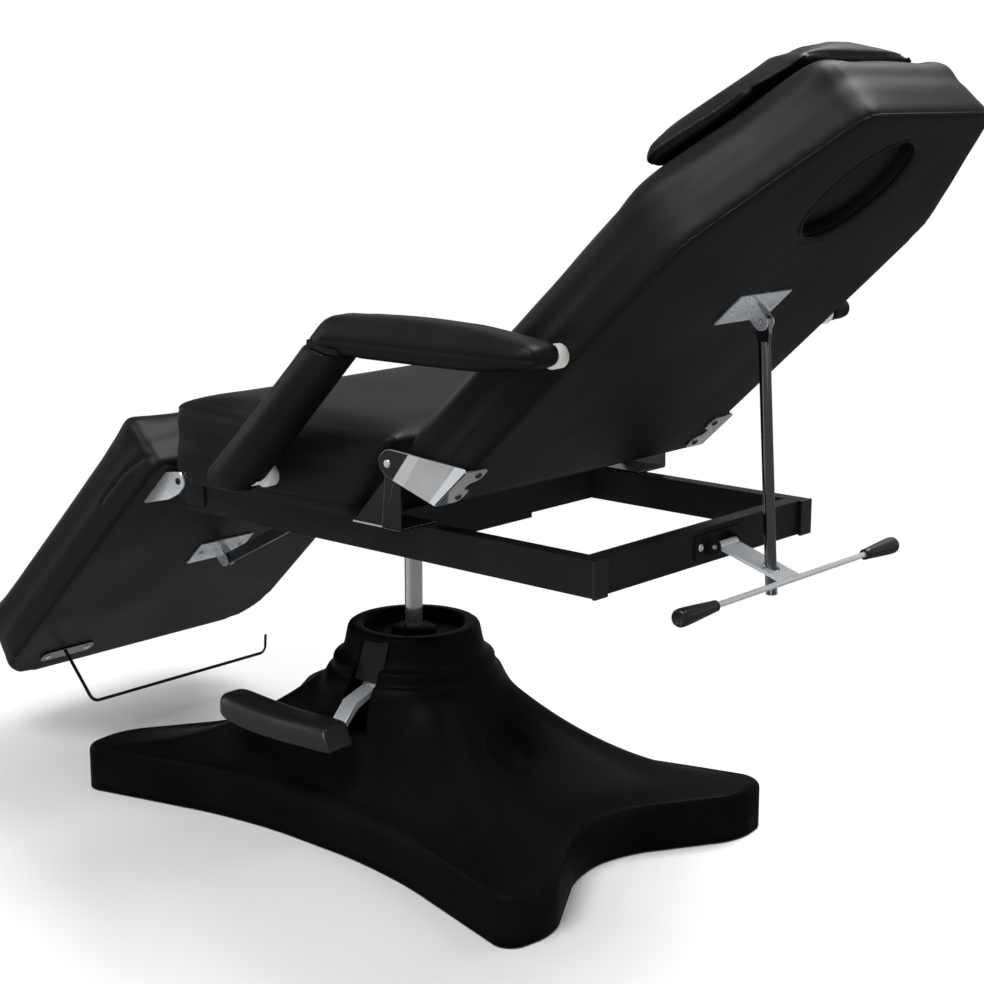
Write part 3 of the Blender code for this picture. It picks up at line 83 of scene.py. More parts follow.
# Base cover: a quarter of its outline with the rounding of each corner, and the bell's radius and height
# from the slope up over the steps to the rim and down into the recess
COVER_QUARTER = ((0.371, 0.050), (0.474, 0.220), (0.461, 0.308), (0.150, 0.223))
COVER_CORNERS = (0.060, 0.034, 0.0341, 0.100)
COVER_FOOT = 0.002
BELL_PROFILE = ((0.1395, 0.2270), (0.1365, 0.2325), (0.1345, 0.2345), (0.1318, 0.2355), (0.1296, 0.2375),
                (0.1282, 0.2420), (0.1272, 0.2480), (0.1264, 0.2525), (0.1245, 0.2552), (0.1215, 0.2566),
                (0.1175, 0.2585), (0.1135, 0.2625), (0.1105, 0.2690), (0.1085, 0.2760), (0.1070, 0.2830),
                (0.1058, 0.2895), (0.1046, 0.2950), (0.1036, 0.2990), (0.1018, 0.3025), (0.0990, 0.3045),
                (0.0955, 0.3050), (0.0860, 0.3050), (0.0822, 0.3043), (0.0795, 0.3020), (0.0778, 0.2985),
                (0.0768, 0.2930), (0.0758, 0.2900), (0.0720, 0.2890), (0.0500, 0.2890), (0.0182, 0.2890))
SLOT_X = 0.014
SLOT_WIDTH = 0.050
SLOT_FOOT = 0.166
SLOT_TOP = 0.296

# Pedal shoe: how large its section is at each part of its length
SHOE_START = 0.34
SHOE_SECTIONS = ((0.006, 0.56), (0.02, 0.72), (0.05, 0.87), (0.10, 0.96), (0.18, 1.0), (0.34, 1.0),
                 (0.5, 0.985), (0.66, 0.98), (0.8, 0.975), (0.92, 0.96), (0.985, 0.93), (1.0, 0.86))

# Painted reflection bands on a hinge plate's outer face, lighter and darker copies of chrome: lower end, slope and
# finish of each band, from the pivot towards its flange
HINGE_REFLECTION_BANDS = ((-0.0208, 0.163, 1), (-0.0410, 0.227, 2), (-0.0855, 0.102, 0))
LAST_REFLECTION_BAND = 3
# Corners of a small rectangle, each rounded in a step of its own
SMALL_CORNERS = (0.002, 0.0021, 0.0022, 0.0023)
RIVET_HEIGHT = 0.0030
RIVET_PROFILE = ((0.0, -0.004), (0.0045, -0.004), (0.0045, 0.0), (0.0062, 0.0), (0.0060, 0.0010),
                 (0.0052, 0.0020), (0.0038, 0.0026), (0.0018, 0.0029), (0.0, RIVET_HEIGHT))
# Share of the grip's radius and distance from its outer end
GRIP_PROFILE = ((0.0, 0.0016), (0.62, 0.0014), (0.70, 0.0), (0.86, 0.0004), (0.96, 0.0024), (1.0, 0.0062),
                (0.995, 0.012), (0.95, 0.022), (0.84, 0.042), (0.72, 0.062), (0.66, 0.0710), (0.655, 0.0730),
                (0.58, 0.0737), (0.58, 0.0757), (0.64, 0.0765))

# Levels of the studio's light, and what mirror-like faces see of it
AMBIENT_LEVEL = 0.36
MIRRORED_FLOOR_LEFT = 0.42
MIRRORED_FLOOR_RIGHT = 0.17
MIRRORED_HORIZON = 0.46
MIRRORED_ZENITH = 0.10


# Values a user would change

class TableSizes(bpy.types.PropertyGroup):
    back_tilt: FloatProperty(
        name="Back tilt", description="Slope of the backrest at rest", subtype="ANGLE",
        default=math.radians(43.0))
    leg_drop: FloatProperty(
        name="Leg drop", description="Slope of the leg rest at rest", subtype="ANGLE",
        default=math.radians(44.0))
    board: FloatProperty(
        name="Board", description="Board under a large pad, with its clearance", unit="LENGTH",
        default=0.0123)
    large_voxel: FloatProperty(
        name="Large voxel", description="Mesh size of the large pads", unit="LENGTH", default=0.0078)
    small_voxel: FloatProperty(
        name="Small voxel", description="Mesh size of the small pads", unit="LENGTH", default=0.0046)
    draw_in: FloatProperty(
        name="Draw in", description="How much smaller a pad starts before it is filled", unit="LENGTH",
        default=0.0022)
    pressure: FloatProperty(
        name="Pressure", description="Filling pressure of the pads", default=4.0)
    steps: IntProperty(
        name="Steps", description="Frames that the filling takes", default=14)
    seam_depth: FloatProperty(
        name="Seam depth", description="Depth of a sewn seam", unit="LENGTH", default=0.0016)
    seam_width: FloatProperty(
        name="Seam width", description="Half width of a sewn seam", unit="LENGTH", default=0.0026)
    roll_radius: FloatProperty(
        name="Edge roll", description="Radius of the roll round the back's underside", unit="LENGTH",
        default=0.0024)
    screw_radius: FloatProperty(
        name="Screw head", description="Radius of a screw's head", unit="LENGTH", default=0.0052)
    cover_edge: FloatProperty(
        name="Cover edge", description="Rounding of the base cover's walls at its ends", unit="LENGTH",
        default=0.012)
    cover_soft_edge: FloatProperty(
        name="Cover soft edge", description="Rounding of the base cover's walls along its sides",
        unit="LENGTH", default=0.030)
    cover_wall: FloatProperty(
        name="Cover wall", description="Wall of the base cover", unit="LENGTH", default=0.003)
    tube_corner: FloatProperty(
        name="Tube corner", description="Rounding of the square tubes' corners", unit="LENGTH",
        default=0.0016)
    bright_edge: FloatProperty(
        name="Bright edge", description="Width of the hinge brackets' bright edges", unit="LENGTH",
        default=0.0010)
    edge_ease: FloatProperty(
        name="Eased edge", description="Width of the eased edges of plate and tube", unit="LENGTH",
        default=0.0006)


class TableColours(bpy.types.PropertyGroup):
    vinyl: FloatVectorProperty(
        name="Vinyl", description="Cover of the pads", subtype="COLOR", size=3,
        default=(0.0046, 0.0046, 0.0049))
    vinyl_worn: FloatVectorProperty(
        name="Vinyl, worn", description="Lighter parts of the cover", subtype="COLOR", size=3,
        default=(0.0076, 0.0076, 0.0080))
    paint: FloatVectorProperty(
        name="Paint", description="Powder coat of the tubes", subtype="COLOR", size=3,
        default=(0.0066, 0.0071, 0.0084))
    shell: FloatVectorProperty(
        name="Base cover", description="Moulded cover of the base", subtype="COLOR", size=3,
        default=(0.0024, 0.0024, 0.0026))
    plastic: FloatVectorProperty(
        name="Plastic", description="Caps and grips", subtype="COLOR", size=3,
        default=(0.0060, 0.0060, 0.0065))
    chrome: FloatVectorProperty(
        name="Chrome", description="Plated column and hinges", subtype="COLOR", size=3,
        default=(0.88, 0.89, 0.91))
    strut: FloatVectorProperty(
        name="Strut", description="Rod under the backrest and plate of the paper holder", subtype="COLOR",
        size=3, default=(0.27, 0.27, 0.28))
    pedal: FloatVectorProperty(
        name="Pedal", description="Foot pad of the pump pedal", subtype="COLOR", size=3,
        default=(0.0105, 0.0110, 0.0122))
    # Dark copy of the chrome, laid on the hinges' outer faces as a painted dark reflection
    painted_dark_reflection: FloatVectorProperty(
        name="Dark plate", description="Flat faces of the hinge brackets and dark bands of the hinge plates",
        subtype="COLOR", size=3, default=(0.055, 0.057, 0.060))
    zinc: FloatVectorProperty(
        name="Zinc", description="Plated brackets and bars", subtype="COLOR", size=3,
        default=(0.80, 0.84, 0.88))
    steel: FloatVectorProperty(
        name="Steel", description="Dark bars and hinge screws", subtype="COLOR", size=3,
        default=(0.16, 0.16, 0.17))
    nylon: FloatVectorProperty(
        name="Nylon", description="Spacers of the armrests", subtype="COLOR", size=3,
        default=(0.62, 0.62, 0.58))
    floor: FloatVectorProperty(
        name="Floor", description="Pale studio floor", subtype="COLOR", size=3,
        default=(0.80, 0.80, 0.80))


def sizes():
    return bpy.context.scene.table_sizes


def colours():
    return bpy.context.scene.table_colours


# Shader groups and finishes

NUMBER = "NodeSocketFloat"
COLOUR = "NodeSocketColor"
VECTOR = "NodeSocketVector"
BLACK = (0.0, 0.0, 0.0, 1.0)


def shader_group(name, inputs):
    """Node group with named inputs that puts out height, colour and roughness, and its two end nodes."""
    tree = bpy.data.node_groups.new(name, "ShaderNodeTree")
    for label, kind, default in inputs:
        socket = tree.interface.new_socket(name=label, in_out="INPUT", socket_type=kind)
        socket.default_value = default
    for label, kind in (("Height", NUMBER), ("Colour", COLOUR), ("Roughness", NUMBER)):
        tree.interface.new_socket(name=label, in_out="OUTPUT", socket_type=kind)
    return tree, tree.nodes.new("NodeGroupInput"), tree.nodes.new("NodeGroupOutput")


def feed(tree, socket, value):
    """Sets a socket to a number, or links it to another node's output."""
    if isinstance(value, (int, float)):
        socket.default_value = value
    else:
        tree.links.new(value, socket)


def math_node(tree, operation, a, b):
    node = tree.nodes.new("ShaderNodeMath")
    node.operation = operation
    feed(tree, node.inputs[0], a)
    feed(tree, node.inputs[1], b)
    return node.outputs[0]


def noise_node(tree, vector, scale, detail):
    node = tree.nodes.new("ShaderNodeTexNoise")
    feed(tree, node.inputs["Detail"], detail)
    feed(tree, node.inputs["Vector"], vector)
    feed(tree, node.inputs["Scale"], scale)
    return node.outputs[0]


def range_node(tree, value, start, end, low=0.0, high=1.0, way="LINEAR"):
    """Value between start and end mapped to low and high, and held there beyond them."""
    node = tree.nodes.new("ShaderNodeMapRange")
    node.interpolation_type = way
    feed(tree, node.inputs["Value"], value)
    for label, number in (("From Min", start), ("From Max", end), ("To Min", low), ("To Max", high)):
        feed(tree, node.inputs[label], number)
    return node.outputs[0]


def worn_outputs(tree, start, end, mask, plain, worn):
    """Colour and roughness of a group, going from plain to worn where a mask rises."""
    blend = tree.nodes.new("ShaderNodeMix")
    blend.data_type = "RGBA"
    for index, value in ((0, mask), (6, start.outputs[plain]), (7, start.outputs[worn])):
        tree.links.new(value, blend.inputs[index])
    tree.links.new(blend.outputs[2], end.inputs["Colour"])
    span = math_node(tree, "SUBTRACT", start.outputs["Dull"], start.outputs["Smooth"])
    gain = math_node(tree, "MULTIPLY", mask, span)
    tree.links.new(math_node(tree, "ADD", start.outputs["Smooth"], gain), end.inputs["Roughness"])


def grain_group():
    """Pebbled grain of a vinyl cover with soft slack waves, and lighter rubbed areas."""
    tree, start, end = shader_group("cover grain", [
        ("Grain scale", NUMBER, 760.0), ("Wave scale", NUMBER, 13.0), ("Cover", COLOUR, BLACK),
        ("Rubbed", COLOUR, BLACK), ("Smooth", NUMBER, 0.36), ("Dull", NUMBER, 0.5)])
    place = tree.nodes.new("ShaderNodeTexCoord").outputs["Object"]
    pebble = tree.nodes.new("ShaderNodeTexVoronoi")
    pebble.feature = "SMOOTH_F1"
    pebble.inputs["Smoothness"].default_value = 0.6
    tree.links.new(place, pebble.inputs["Vector"])
    tree.links.new(start.outputs["Grain scale"], pebble.inputs["Scale"])
    waves = noise_node(tree, place, start.outputs["Wave scale"], detail=2.0)
    pebble_share = -0.10
    fine = math_node(tree, "MULTIPLY", pebble.outputs["Distance"], pebble_share)
    tree.links.new(math_node(tree, "ADD", fine, waves), end.inputs["Height"])
    rub = noise_node(tree, place, scale=5.5, detail=4.0)
    worn_outputs(tree, start, end, range_node(tree, rub, start=0.35, end=0.68), "Cover", "Rubbed")
    return tree


def marks_group():
    """Fine surface texture with smudges that change colour and gloss, stretched along one way when asked."""
    tree, start, end = shader_group("surface marks", [
        ("Stretch", VECTOR, (1.0, 1.0, 1.0)), ("Fine scale", NUMBER, 400.0), ("Smudge scale", NUMBER, 9.0),
        ("Clean", COLOUR, BLACK), ("Marked", COLOUR, BLACK), ("Smooth", NUMBER, 0.2), ("Dull", NUMBER, 0.3)])
    place = tree.nodes.new("ShaderNodeTexCoord").outputs["Object"]
    stretch = tree.nodes.new("ShaderNodeVectorMath")
    stretch.operation = "MULTIPLY"
    tree.links.new(place, stretch.inputs[0])
    tree.links.new(start.outputs["Stretch"], stretch.inputs[1])
    fine = noise_node(tree, stretch.outputs[0], start.outputs["Fine scale"], detail=3.0)
    tree.links.new(fine, end.inputs["Height"])
    smudge = noise_node(tree, place, start.outputs["Smudge scale"], detail=5.0)
    least_break = 0.35
    broken = math_node(tree, "ADD", fine, least_break)
    mask = math_node(tree, "MULTIPLY", range_node(tree, smudge, start=0.38, end=0.7), broken)
    worn_outputs(tree, start, end, mask, "Clean", "Marked")
    return tree


def finish(slot, group, values, bump, distance, **sockets):
    """Material whose colour, gloss and relief come from a group, and whose other sockets are plain."""
    material = bpy.data.materials.new(FINISHES.get(slot, slot))
    material.use_nodes = True
    tree = material.node_tree
    shader = tree.nodes["Principled BSDF"]
    marks = tree.nodes.new("ShaderNodeGroup")
    marks.node_tree = group
    for label, value in values.items():
        socket = marks.inputs[label]
        socket.default_value = (*value, 1.0) if socket.type == "RGBA" else value
    relief = tree.nodes.new("ShaderNodeBump")
    relief.inputs["Strength"].default_value = bump
    relief.inputs["Distance"].default_value = distance
    tree.links.new(marks.outputs["Height"], relief.inputs["Height"])
    tree.links.new(marks.outputs["Colour"], shader.inputs["Base Color"])
    tree.links.new(marks.outputs["Roughness"], shader.inputs["Roughness"])
    tree.links.new(relief.outputs["Normal"], shader.inputs["Normal"])
    for label, value in sockets.items():
        shader.inputs[label.replace("_", " ")].default_value = value
    material.diffuse_color = (*(values["Cover"] if "Cover" in values else values["Clean"]), 1.0)


def scaled(colour, factor):
    return tuple(channel * factor for channel in colour)


def build_finishes():
    c = colours()
    grain = grain_group()
    marks = marks_group()
    finish("vinyl", grain, {"Cover": c.vinyl, "Rubbed": c.vinyl_worn, "Smooth": 0.42, "Dull": 0.54},
           bump=0.5, distance=0.0016, Specular_IOR_Level=0.12)
    finish("board", grain, {"Cover": scaled(c.vinyl, 0.8), "Rubbed": c.vinyl, "Grain scale": 1100.0,
                            "Smooth": 0.55, "Dull": 0.7},
           bump=0.4, distance=0.001, Specular_IOR_Level=0.3)
    finish("paint", marks, {"Clean": c.paint, "Marked": scaled(c.paint, 1.7), "Fine scale": 620.0,
                            "Smooth": 0.36, "Dull": 0.5},
           bump=0.16, distance=0.0006, Specular_IOR_Level=0.14)
    finish("shell", marks, {"Clean": c.shell, "Marked": scaled(c.shell, 2.6), "Fine scale": 90.0,
                            "Smudge scale": 6.0, "Smooth": 0.42, "Dull": 0.58},
           bump=0.04, distance=0.0008, Specular_IOR_Level=0.028)
    finish("plastic", marks, {"Clean": c.plastic, "Marked": scaled(c.plastic, 1.8), "Fine scale": 900.0,
                              "Smooth": 0.3, "Dull": 0.45},
           bump=0.2, distance=0.0004, Specular_IOR_Level=0.45)
    finish("chrome", marks, {"Clean": c.chrome, "Marked": scaled(c.chrome, 0.82), "Fine scale": 260.0,
                             "Smooth": 0.06, "Dull": 0.16},
           bump=0.02, distance=0.0003, Metallic=0.86)
    finish("zinc", marks, {"Clean": c.zinc, "Marked": scaled(c.zinc, 0.75), "Stretch": (1.0, 0.08, 1.0),
                           "Fine scale": 900.0, "Smudge scale": 30.0, "Smooth": 0.24, "Dull": 0.42},
           bump=0.12, distance=0.0003, Metallic=0.7)
    finish("steel", marks, {"Clean": c.steel, "Marked": scaled(c.steel, 0.6), "Stretch": (0.1, 1.0, 1.0),
                            "Fine scale": 800.0, "Smudge scale": 18.0, "Smooth": 0.28, "Dull": 0.5},
           bump=0.12, distance=0.0003, Metallic=1.0)
    finish("nylon", marks, {"Clean": c.nylon, "Marked": scaled(c.nylon, 0.86), "Fine scale": 700.0,
                            "Smooth": 0.38, "Dull": 0.5},
           bump=0.12, distance=0.0003, Specular_IOR_Level=0.5)
    finish("strut plate", marks, {"Clean": c.strut, "Marked": scaled(c.strut, 0.7), "Fine scale": 260.0,
                                  "Smooth": 0.05, "Dull": 0.12},
           bump=0.02, distance=0.0003, Metallic=1.0)
    finish("pedal rubber", marks, {"Clean": c.pedal, "Marked": scaled(c.pedal, 0.75), "Fine scale": 700.0,
                                   "Smooth": 0.26, "Dull": 0.42},
           bump=0.16, distance=0.0004, Specular_IOR_Level=0.5)
    # Painted dark reflection: a dark copy of chrome for the hinge brackets' flat faces and the hinge plates' dark
    # bands
    finish("painted dark reflection", marks, {"Clean": c.painted_dark_reflection, "Marked": scaled(c.painted_dark_reflection, 0.7),
                                 "Fine scale": 260.0, "Smooth": 0.14, "Dull": 0.26},
           bump=0.03, distance=0.0003, Metallic=1.0)
    # Bright zinc of the bars, lever plate and nut, also laid as the lowest painted highlight band on the hinge
    # plates
    finish("bright plate", marks, {"Clean": c.zinc, "Marked": scaled(c.zinc, 0.9), "Fine scale": 260.0,
                                   "Smooth": 0.16, "Dull": 0.26},
           bump=0.03, distance=0.0003, Metallic=0.6)
    # Slightly darker chrome of the hinge plates' flanges and edges, also one of their painted reflection bands
    finish("hinge plate", marks, {"Clean": scaled(c.chrome, 0.84), "Marked": scaled(c.chrome, 0.55),
                                  "Fine scale": 260.0, "Smooth": 0.08, "Dull": 0.18},
           bump=0.02, distance=0.0003, Metallic=0.86)
    for name, node in frame["nodes"].items():
        node.data.materials.clear()
        node.data.materials.append(bpy.data.materials[FINISHES[SLOTS[name]]])


# Mesh helpers

def solid_copy(name):
    """Merged copy of a frame node's solid."""
    bm = bmesh.new()
    bm.from_mesh(frame["nodes"][name].data)
    bmesh.ops.remove_doubles(bm, verts=bm.verts[:], dist=MERGE_DISTANCE)
    bmesh.ops.recalc_face_normals(bm, faces=bm.faces[:])
    return bm


def linked(name, bm, *looks):
    """New object from a bmesh, at the origin, smooth, with the finishes of some slots or names."""
    mesh = bpy.data.meshes.new(name)
    for face in bm.faces:
        face.smooth = True
    bm.to_mesh(mesh)
    bm.free()
    for look in looks:
        mesh.materials.append(bpy.data.materials[FINISHES.get(look, look)])
    obj = bpy.data.objects.new(name, mesh)
    bpy.context.scene.collection.objects.link(obj)
    return obj


def fixed(obj, body, slot, *nodes):
    """Piece rides on its body and stands for nodes; its slot is not used."""
    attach(obj, body)
    if nodes:
        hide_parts(*nodes)
    return obj


def applied(obj):
    """Object with its modifiers made part of its mesh."""
    shown = obj.evaluated_get(bpy.context.evaluated_depsgraph_get())
    mesh = bpy.data.meshes.new_from_object(shown)
    mesh.name = obj.name
    old = obj.data
    obj.modifiers.clear()
    obj.data = mesh
    bpy.data.meshes.remove(old)
    for polygon in obj.data.polygons:
        polygon.use_smooth = True
    return obj


def subdivided(obj, levels):
    """Object with a finer skin, the same on screen and in renders."""
    finer = obj.modifiers.new("finer", "SUBSURF")
    finer.levels = finer.render_levels = levels
    return obj


def rounded(bm, chosen, offset, segments, affect="EDGES"):
    """Rounds some edges or corners."""
    bmesh.ops.bevel(bm, geom=chosen, offset=offset, offset_type="OFFSET", segments=segments, profile=0.5,
                    affect=affect, clamp_overlap=True, material=-1)


def points(mesh, key="co"):
    values = np.empty(len(mesh.vertices) * 3, np.float32)
    mesh.vertices.foreach_get(key, values)
    return values.reshape(-1, 3)


def set_points(mesh, values):
    mesh.vertices.foreach_set("co", np.ascontiguousarray(values, np.float32).ravel())
    mesh.update()


def eased_in(value, start, end):
    """0 before start, 1 after end, smooth between."""
    part = np.clip((value - start) / (end - start), 0.0, 1.0)
    return part * part * (3.0 - 2.0 * part)


def turned_about(joint, tilt):
    """Matrix from a sloping part's own frame, flat at its hinge, to the table's frame."""
    return Matrix.Translation(JOINT_AT[joint]) @ Matrix.Rotation(-tilt, 4, "Y")


def back_frame():
    return turned_about("back_tilt", sizes().back_tilt)


def leg_frame():
    return turned_about("leg_lift", sizes().leg_drop)


def underside(matrix):
    """Direction that the underside of a sloping part faces."""
    return matrix.to_3x3() @ Vector((0.0, 0.0, -1.0))


def flat_to(bm, matrix):
    """Turns a copy of a sloping piece into its own frame."""
    bmesh.ops.transform(bm, matrix=matrix.inverted(), verts=bm.verts[:])
    return bm


def extent(bm):
    """Least and greatest corner of a shape."""
    columns = list(zip(*(vert.co for vert in bm.verts)))
    return Vector([min(column) for column in columns]), Vector([max(column) for column in columns])


def own_box(node, matrix):
    """Least and greatest corner of a node in the own frame of the sloping part that carries it."""
    bm = flat_to(solid_copy(node), matrix)
    corners = extent(bm)
    bm.free()
    return corners


def full_turn(count):
    """Angles that divide a full turn evenly."""
    return [math.tau * step / count for step in range(count)]


def new_verts(grown):
    return [item for item in grown if isinstance(item, bmesh.types.BMVert)]


# Filled pads

def keep_largest(mesh):
    """Deletes the crumbs that a remesh leaves beside the skin."""
    bm = bmesh.new()
    bm.from_mesh(mesh)
    left = set(bm.verts)
    parts = []
    while left:
        found = [left.pop()]
        for vert in found:
            fresh = {edge.other_vert(vert) for edge in vert.link_edges} & left
            left -= fresh
            found.extend(fresh)
        parts.append(found)
    parts.sort(key=len)
    bmesh.ops.delete(bm, geom=[vert for part in parts[:-1] for vert in part], context="VERTS")
    bm.to_mesh(mesh)
    bm.free()


def filled_pad(name, bm, voxel, held, cap, seams=(), into=None):
    """Closed skin drawn in, remeshed, filled by cloth pressure within a cap, subdivided and seamed."""
    size = sizes()
    for vert in bm.verts:
        vert.co -= vert.normal * size.draw_in
    obj = linked(name, bm, "vinyl")
    remesh = obj.modifiers.new("even skin", "REMESH")
    remesh.mode = "VOXEL"
    remesh.voxel_size = voxel
    remesh.use_smooth_shade = True
    applied(obj)
    keep_largest(obj.data)
    ease = obj.modifiers.new("even", "SMOOTH")
    ease.factor = 0.5
    ease.iterations = 2
    applied(obj)
    fill(obj, held, cap)
    applied(subdivided(obj, levels=1))
    for seam in seams:
        sew(obj.data, **seam)
    if into is not None:
        obj.data.transform(into)
        obj.data.update()
    return obj


def evened(mesh, field, rounds=12):
    """Vectors at a mesh's points, averaged with those of their neighbours a number of times."""
    ends = np.empty(len(mesh.edges) * 2, np.int32)
    mesh.edges.foreach_get("vertices", ends)
    a, b = ends.reshape(-1, 2).T
    count = len(field)
    links = np.bincount(ends, minlength=count)[:, None]
    for _ in range(rounds):
        sums = [np.bincount(a, field[b, i], count) + np.bincount(b, field[a, i], count) for i in range(3)]
        field = 0.5 * field + 0.5 * np.stack(sums, 1) / links
    return field


def freedom(co, held, reach=0.025):
    """0 at held points, rising to 1 at some distance from them."""
    tree = KDTree(int(held.sum()))
    for index, place in enumerate(co[held]):
        tree.insert(place, index)
    tree.balance()
    return eased_in(np.array([tree.find(place)[2] for place in co]), 0.0, reach)


def fill(obj, held, cap):
    """Cloth pressure from inside, with the held points fixed and each point's travel capped and evened."""
    size = sizes()
    scene = bpy.context.scene
    start = points(obj.data)
    normal = points(obj.data, "normal")
    kept = held(start)
    group = obj.vertex_groups.new(name="held")
    group.add([int(i) for i in np.nonzero(kept)[0]], 1.0, "REPLACE")
    cloth = obj.modifiers.new("filling", "CLOTH")
    settings = cloth.settings
    settings.quality = 3
    settings.mass = 0.25
    settings.tension_stiffness = settings.compression_stiffness = 18.0
    settings.shear_stiffness = 8.0
    settings.bending_stiffness = 1.2
    settings.use_pressure = True
    settings.uniform_pressure_force = size.pressure
    settings.vertex_group_mass = "held"
    settings.effector_weights.gravity = 0.0
    cloth.collision_settings.use_collision = False
    cloth.point_cache.frame_start = 1
    cloth.point_cache.frame_end = size.steps
    for step in range(1, size.steps + 1):
        scene.frame_set(step)
    shown = obj.evaluated_get(bpy.context.evaluated_depsgraph_get())
    move = points(shown.data) - start
    obj.modifiers.remove(cloth)
    obj.vertex_groups.clear()
    scene.frame_set(1)
    length = np.linalg.norm(move, axis=1)
    limit = cap(start, normal)
    factor = np.tanh(length / limit) * limit / np.maximum(length, 1e-9)
    skin = normal * size.draw_in
    swell = evened(obj.data, move * factor[:, None] - skin)
    set_points(obj.data, start + skin + swell * freedom(start, kept)[:, None])


def crowned(side, top):
    """Travel allowed to a pad's points: least on its sides and most on its top."""
    def cap(co, normal):
        return side + (top - side) * eased_in(normal[:, 2], start=0.2, end=0.95)
    return cap


def even_cap(travel):
    """The same travel allowed to all of a pad's points."""
    def cap(co, normal):
        return np.full(len(co), travel)
    return cap


def held_below(height):
    """Holds a pad's points below a height of its own frame."""
    def held(co):
        return co[:, 2] < height
    return held


def sew(mesh, measure, depth, width):
    """Draws the skin in along a line, given each point's distance from it."""
    co = points(mesh)
    normal = points(mesh, "normal")
    distance = measure(co, normal)
    set_points(mesh, co - normal * (depth * np.exp(-(distance / width) ** 2))[:, None])


def side_seam(height, flattest=0.5):
    """Seam round the sides of a pad at one height of its own frame."""
    def measure(co, normal):
        return np.where(np.abs(normal[:, 2]) < flattest, np.abs(co[:, 2] - height), OFF_SEAM)
    return measure


def line_seam(face, a, b, least_out=0.55):
    """Seam along a line from a to b, given along and up, on the side of a pad that looks to one side."""
    a = np.array(a)
    b = np.array(b)

    def measure(co, normal):
        p = co[:, [0, 2]] - a
        run = np.clip(p @ (b - a) / ((b - a) @ (b - a)), 0.0, 1.0)
        away = np.linalg.norm(p - run[:, None] * (b - a), axis=1)
        return np.where(normal[:, 1] * face > least_out, away, OFF_SEAM)
    return measure


def deepened(bm, drop, band=0.02):
    """Lowers the foot of a pad so that its cover also wraps the board, and gives the new foot's height."""
    low = extent(bm)[0].z
    foot = [vert for vert in bm.verts if vert.co.z < low + band]
    bmesh.ops.translate(bm, vec=(0.0, 0.0, -drop), verts=foot)
    return low - drop


def seat_pad():
    size = sizes()
    low, high = (corner.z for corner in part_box("seat_cushion"))
    held_band = 0.008
    top_seam = high - 0.020
    foot_seam = low + 0.012
    seams = [{"measure": side_seam(top_seam), "depth": size.seam_depth, "width": size.seam_width},
             {"measure": side_seam(foot_seam), "depth": size.seam_depth * 0.7, "width": size.seam_width}]
    pad = filled_pad("seat_pad", solid_copy("seat_cushion"), size.large_voxel, held_below(low + held_band),
                     crowned(side=0.0035, top=0.010), seams)
    fixed(pad, "seat_frame", "vinyl", "seat_cushion")


def back_pad():
    size = sizes()
    into = back_frame()
    bm = flat_to(solid_copy("back_cushion"), into)
    low = deepened(bm, size.board)
    plug = flat_to(solid_copy("face_plug"), into)
    middle = sum((vert.co for vert in plug.verts), Vector()) / len(plug.verts)
    far = extent(plug)[1]
    reach = far.x - middle.x
    width = far.y
    plug.free()
    held_band = 0.010
    hole_margin = 1.14

    def held(co):
        oval = np.hypot((co[:, 0] - middle.x) / reach, co[:, 1] / width)
        return (co[:, 2] < low + held_band) | (oval < hole_margin)

    pad = filled_pad("back_pad", bm, size.large_voxel, held, crowned(side=0.0030, top=0.009), into=into)
    fixed(pad, "backrest", "vinyl", "back_cushion", "back_board")
    skin = BVHTree.FromObject(pad, bpy.context.evaluated_depsgraph_get())
    trims = [edge_roll(low, into, skin), hole_rim(middle, reach, width, low, into, skin)]
    trims += [slit_shade_lip(side, s, into, skin) for side, s in SIDES]
    for trim in trims:
        fixed(trim, "backrest", "vinyl")


def hugged(skin, loop, into, sink):
    """Loop given in a pad's own frame, moved to the nearest places on its cover and sunk in a little."""
    places = []
    for place in loop:
        spot, normal, _, _ = skin.find_nearest(into @ Vector(place))
        places.append(spot - normal * sink)
    return places


def tube_along(name, loop, radius, slot):
    """Closed round tube along a loop of points, as a mesh."""
    curve = bpy.data.curves.new(name, "CURVE")
    curve.dimensions = "3D"
    curve.bevel_depth = radius
    curve.bevel_resolution = 3
    spline = curve.splines.new("POLY")
    spline.points.add(len(loop) - 1)
    for point, place in zip(spline.points, loop):
        point.co = (*place, 1.0)
    spline.use_cyclic_u = True
    holder = bpy.data.objects.new(name, curve)
    bpy.context.scene.collection.objects.link(holder)
    shown = holder.evaluated_get(bpy.context.evaluated_depsgraph_get())
    bm = bmesh.new()
    bm.from_mesh(shown.to_mesh())
    shown.to_mesh_clear()
    bpy.data.objects.remove(holder)
    bpy.data.curves.remove(curve)
    bmesh.ops.recalc_face_normals(bm, faces=bm.faces[:])
    return linked(name, bm, slot)


def edge_roll(low, into, skin):
    """Thin roll of the cover round the edge of the back's underside."""
    size = sizes()
    rim_band = 0.004
    parts = 6
    board = flat_to(solid_copy("back_board"), into)
    outline = bmesh.new()
    for vert in board.verts:
        if vert.co.z < low + rim_band:
            outline.verts.new((vert.co.x, vert.co.y, 0.0))
    hull = bmesh.ops.convex_hull(outline, input=outline.verts[:])
    bmesh.ops.delete(outline, geom=hull["geom_interior"], context="VERTS")
    edge = [vert.co.copy() for vert in outline.verts]
    board.free()
    outline.free()
    middle = sum(edge, Vector()) / len(edge)
    edge.sort(key=lambda co: math.atan2(co.y - middle.y, co.x - middle.x))
    edge = [a.lerp(b, part / parts) for a, b in zip(edge, edge[1:] + edge[:1]) for part in range(parts)]
    loop = hugged(skin, [(co.x, co.y, low) for co in edge], into, sink=size.roll_radius * 0.5)
    return tube_along("back_edge_roll", loop, size.roll_radius, "vinyl")


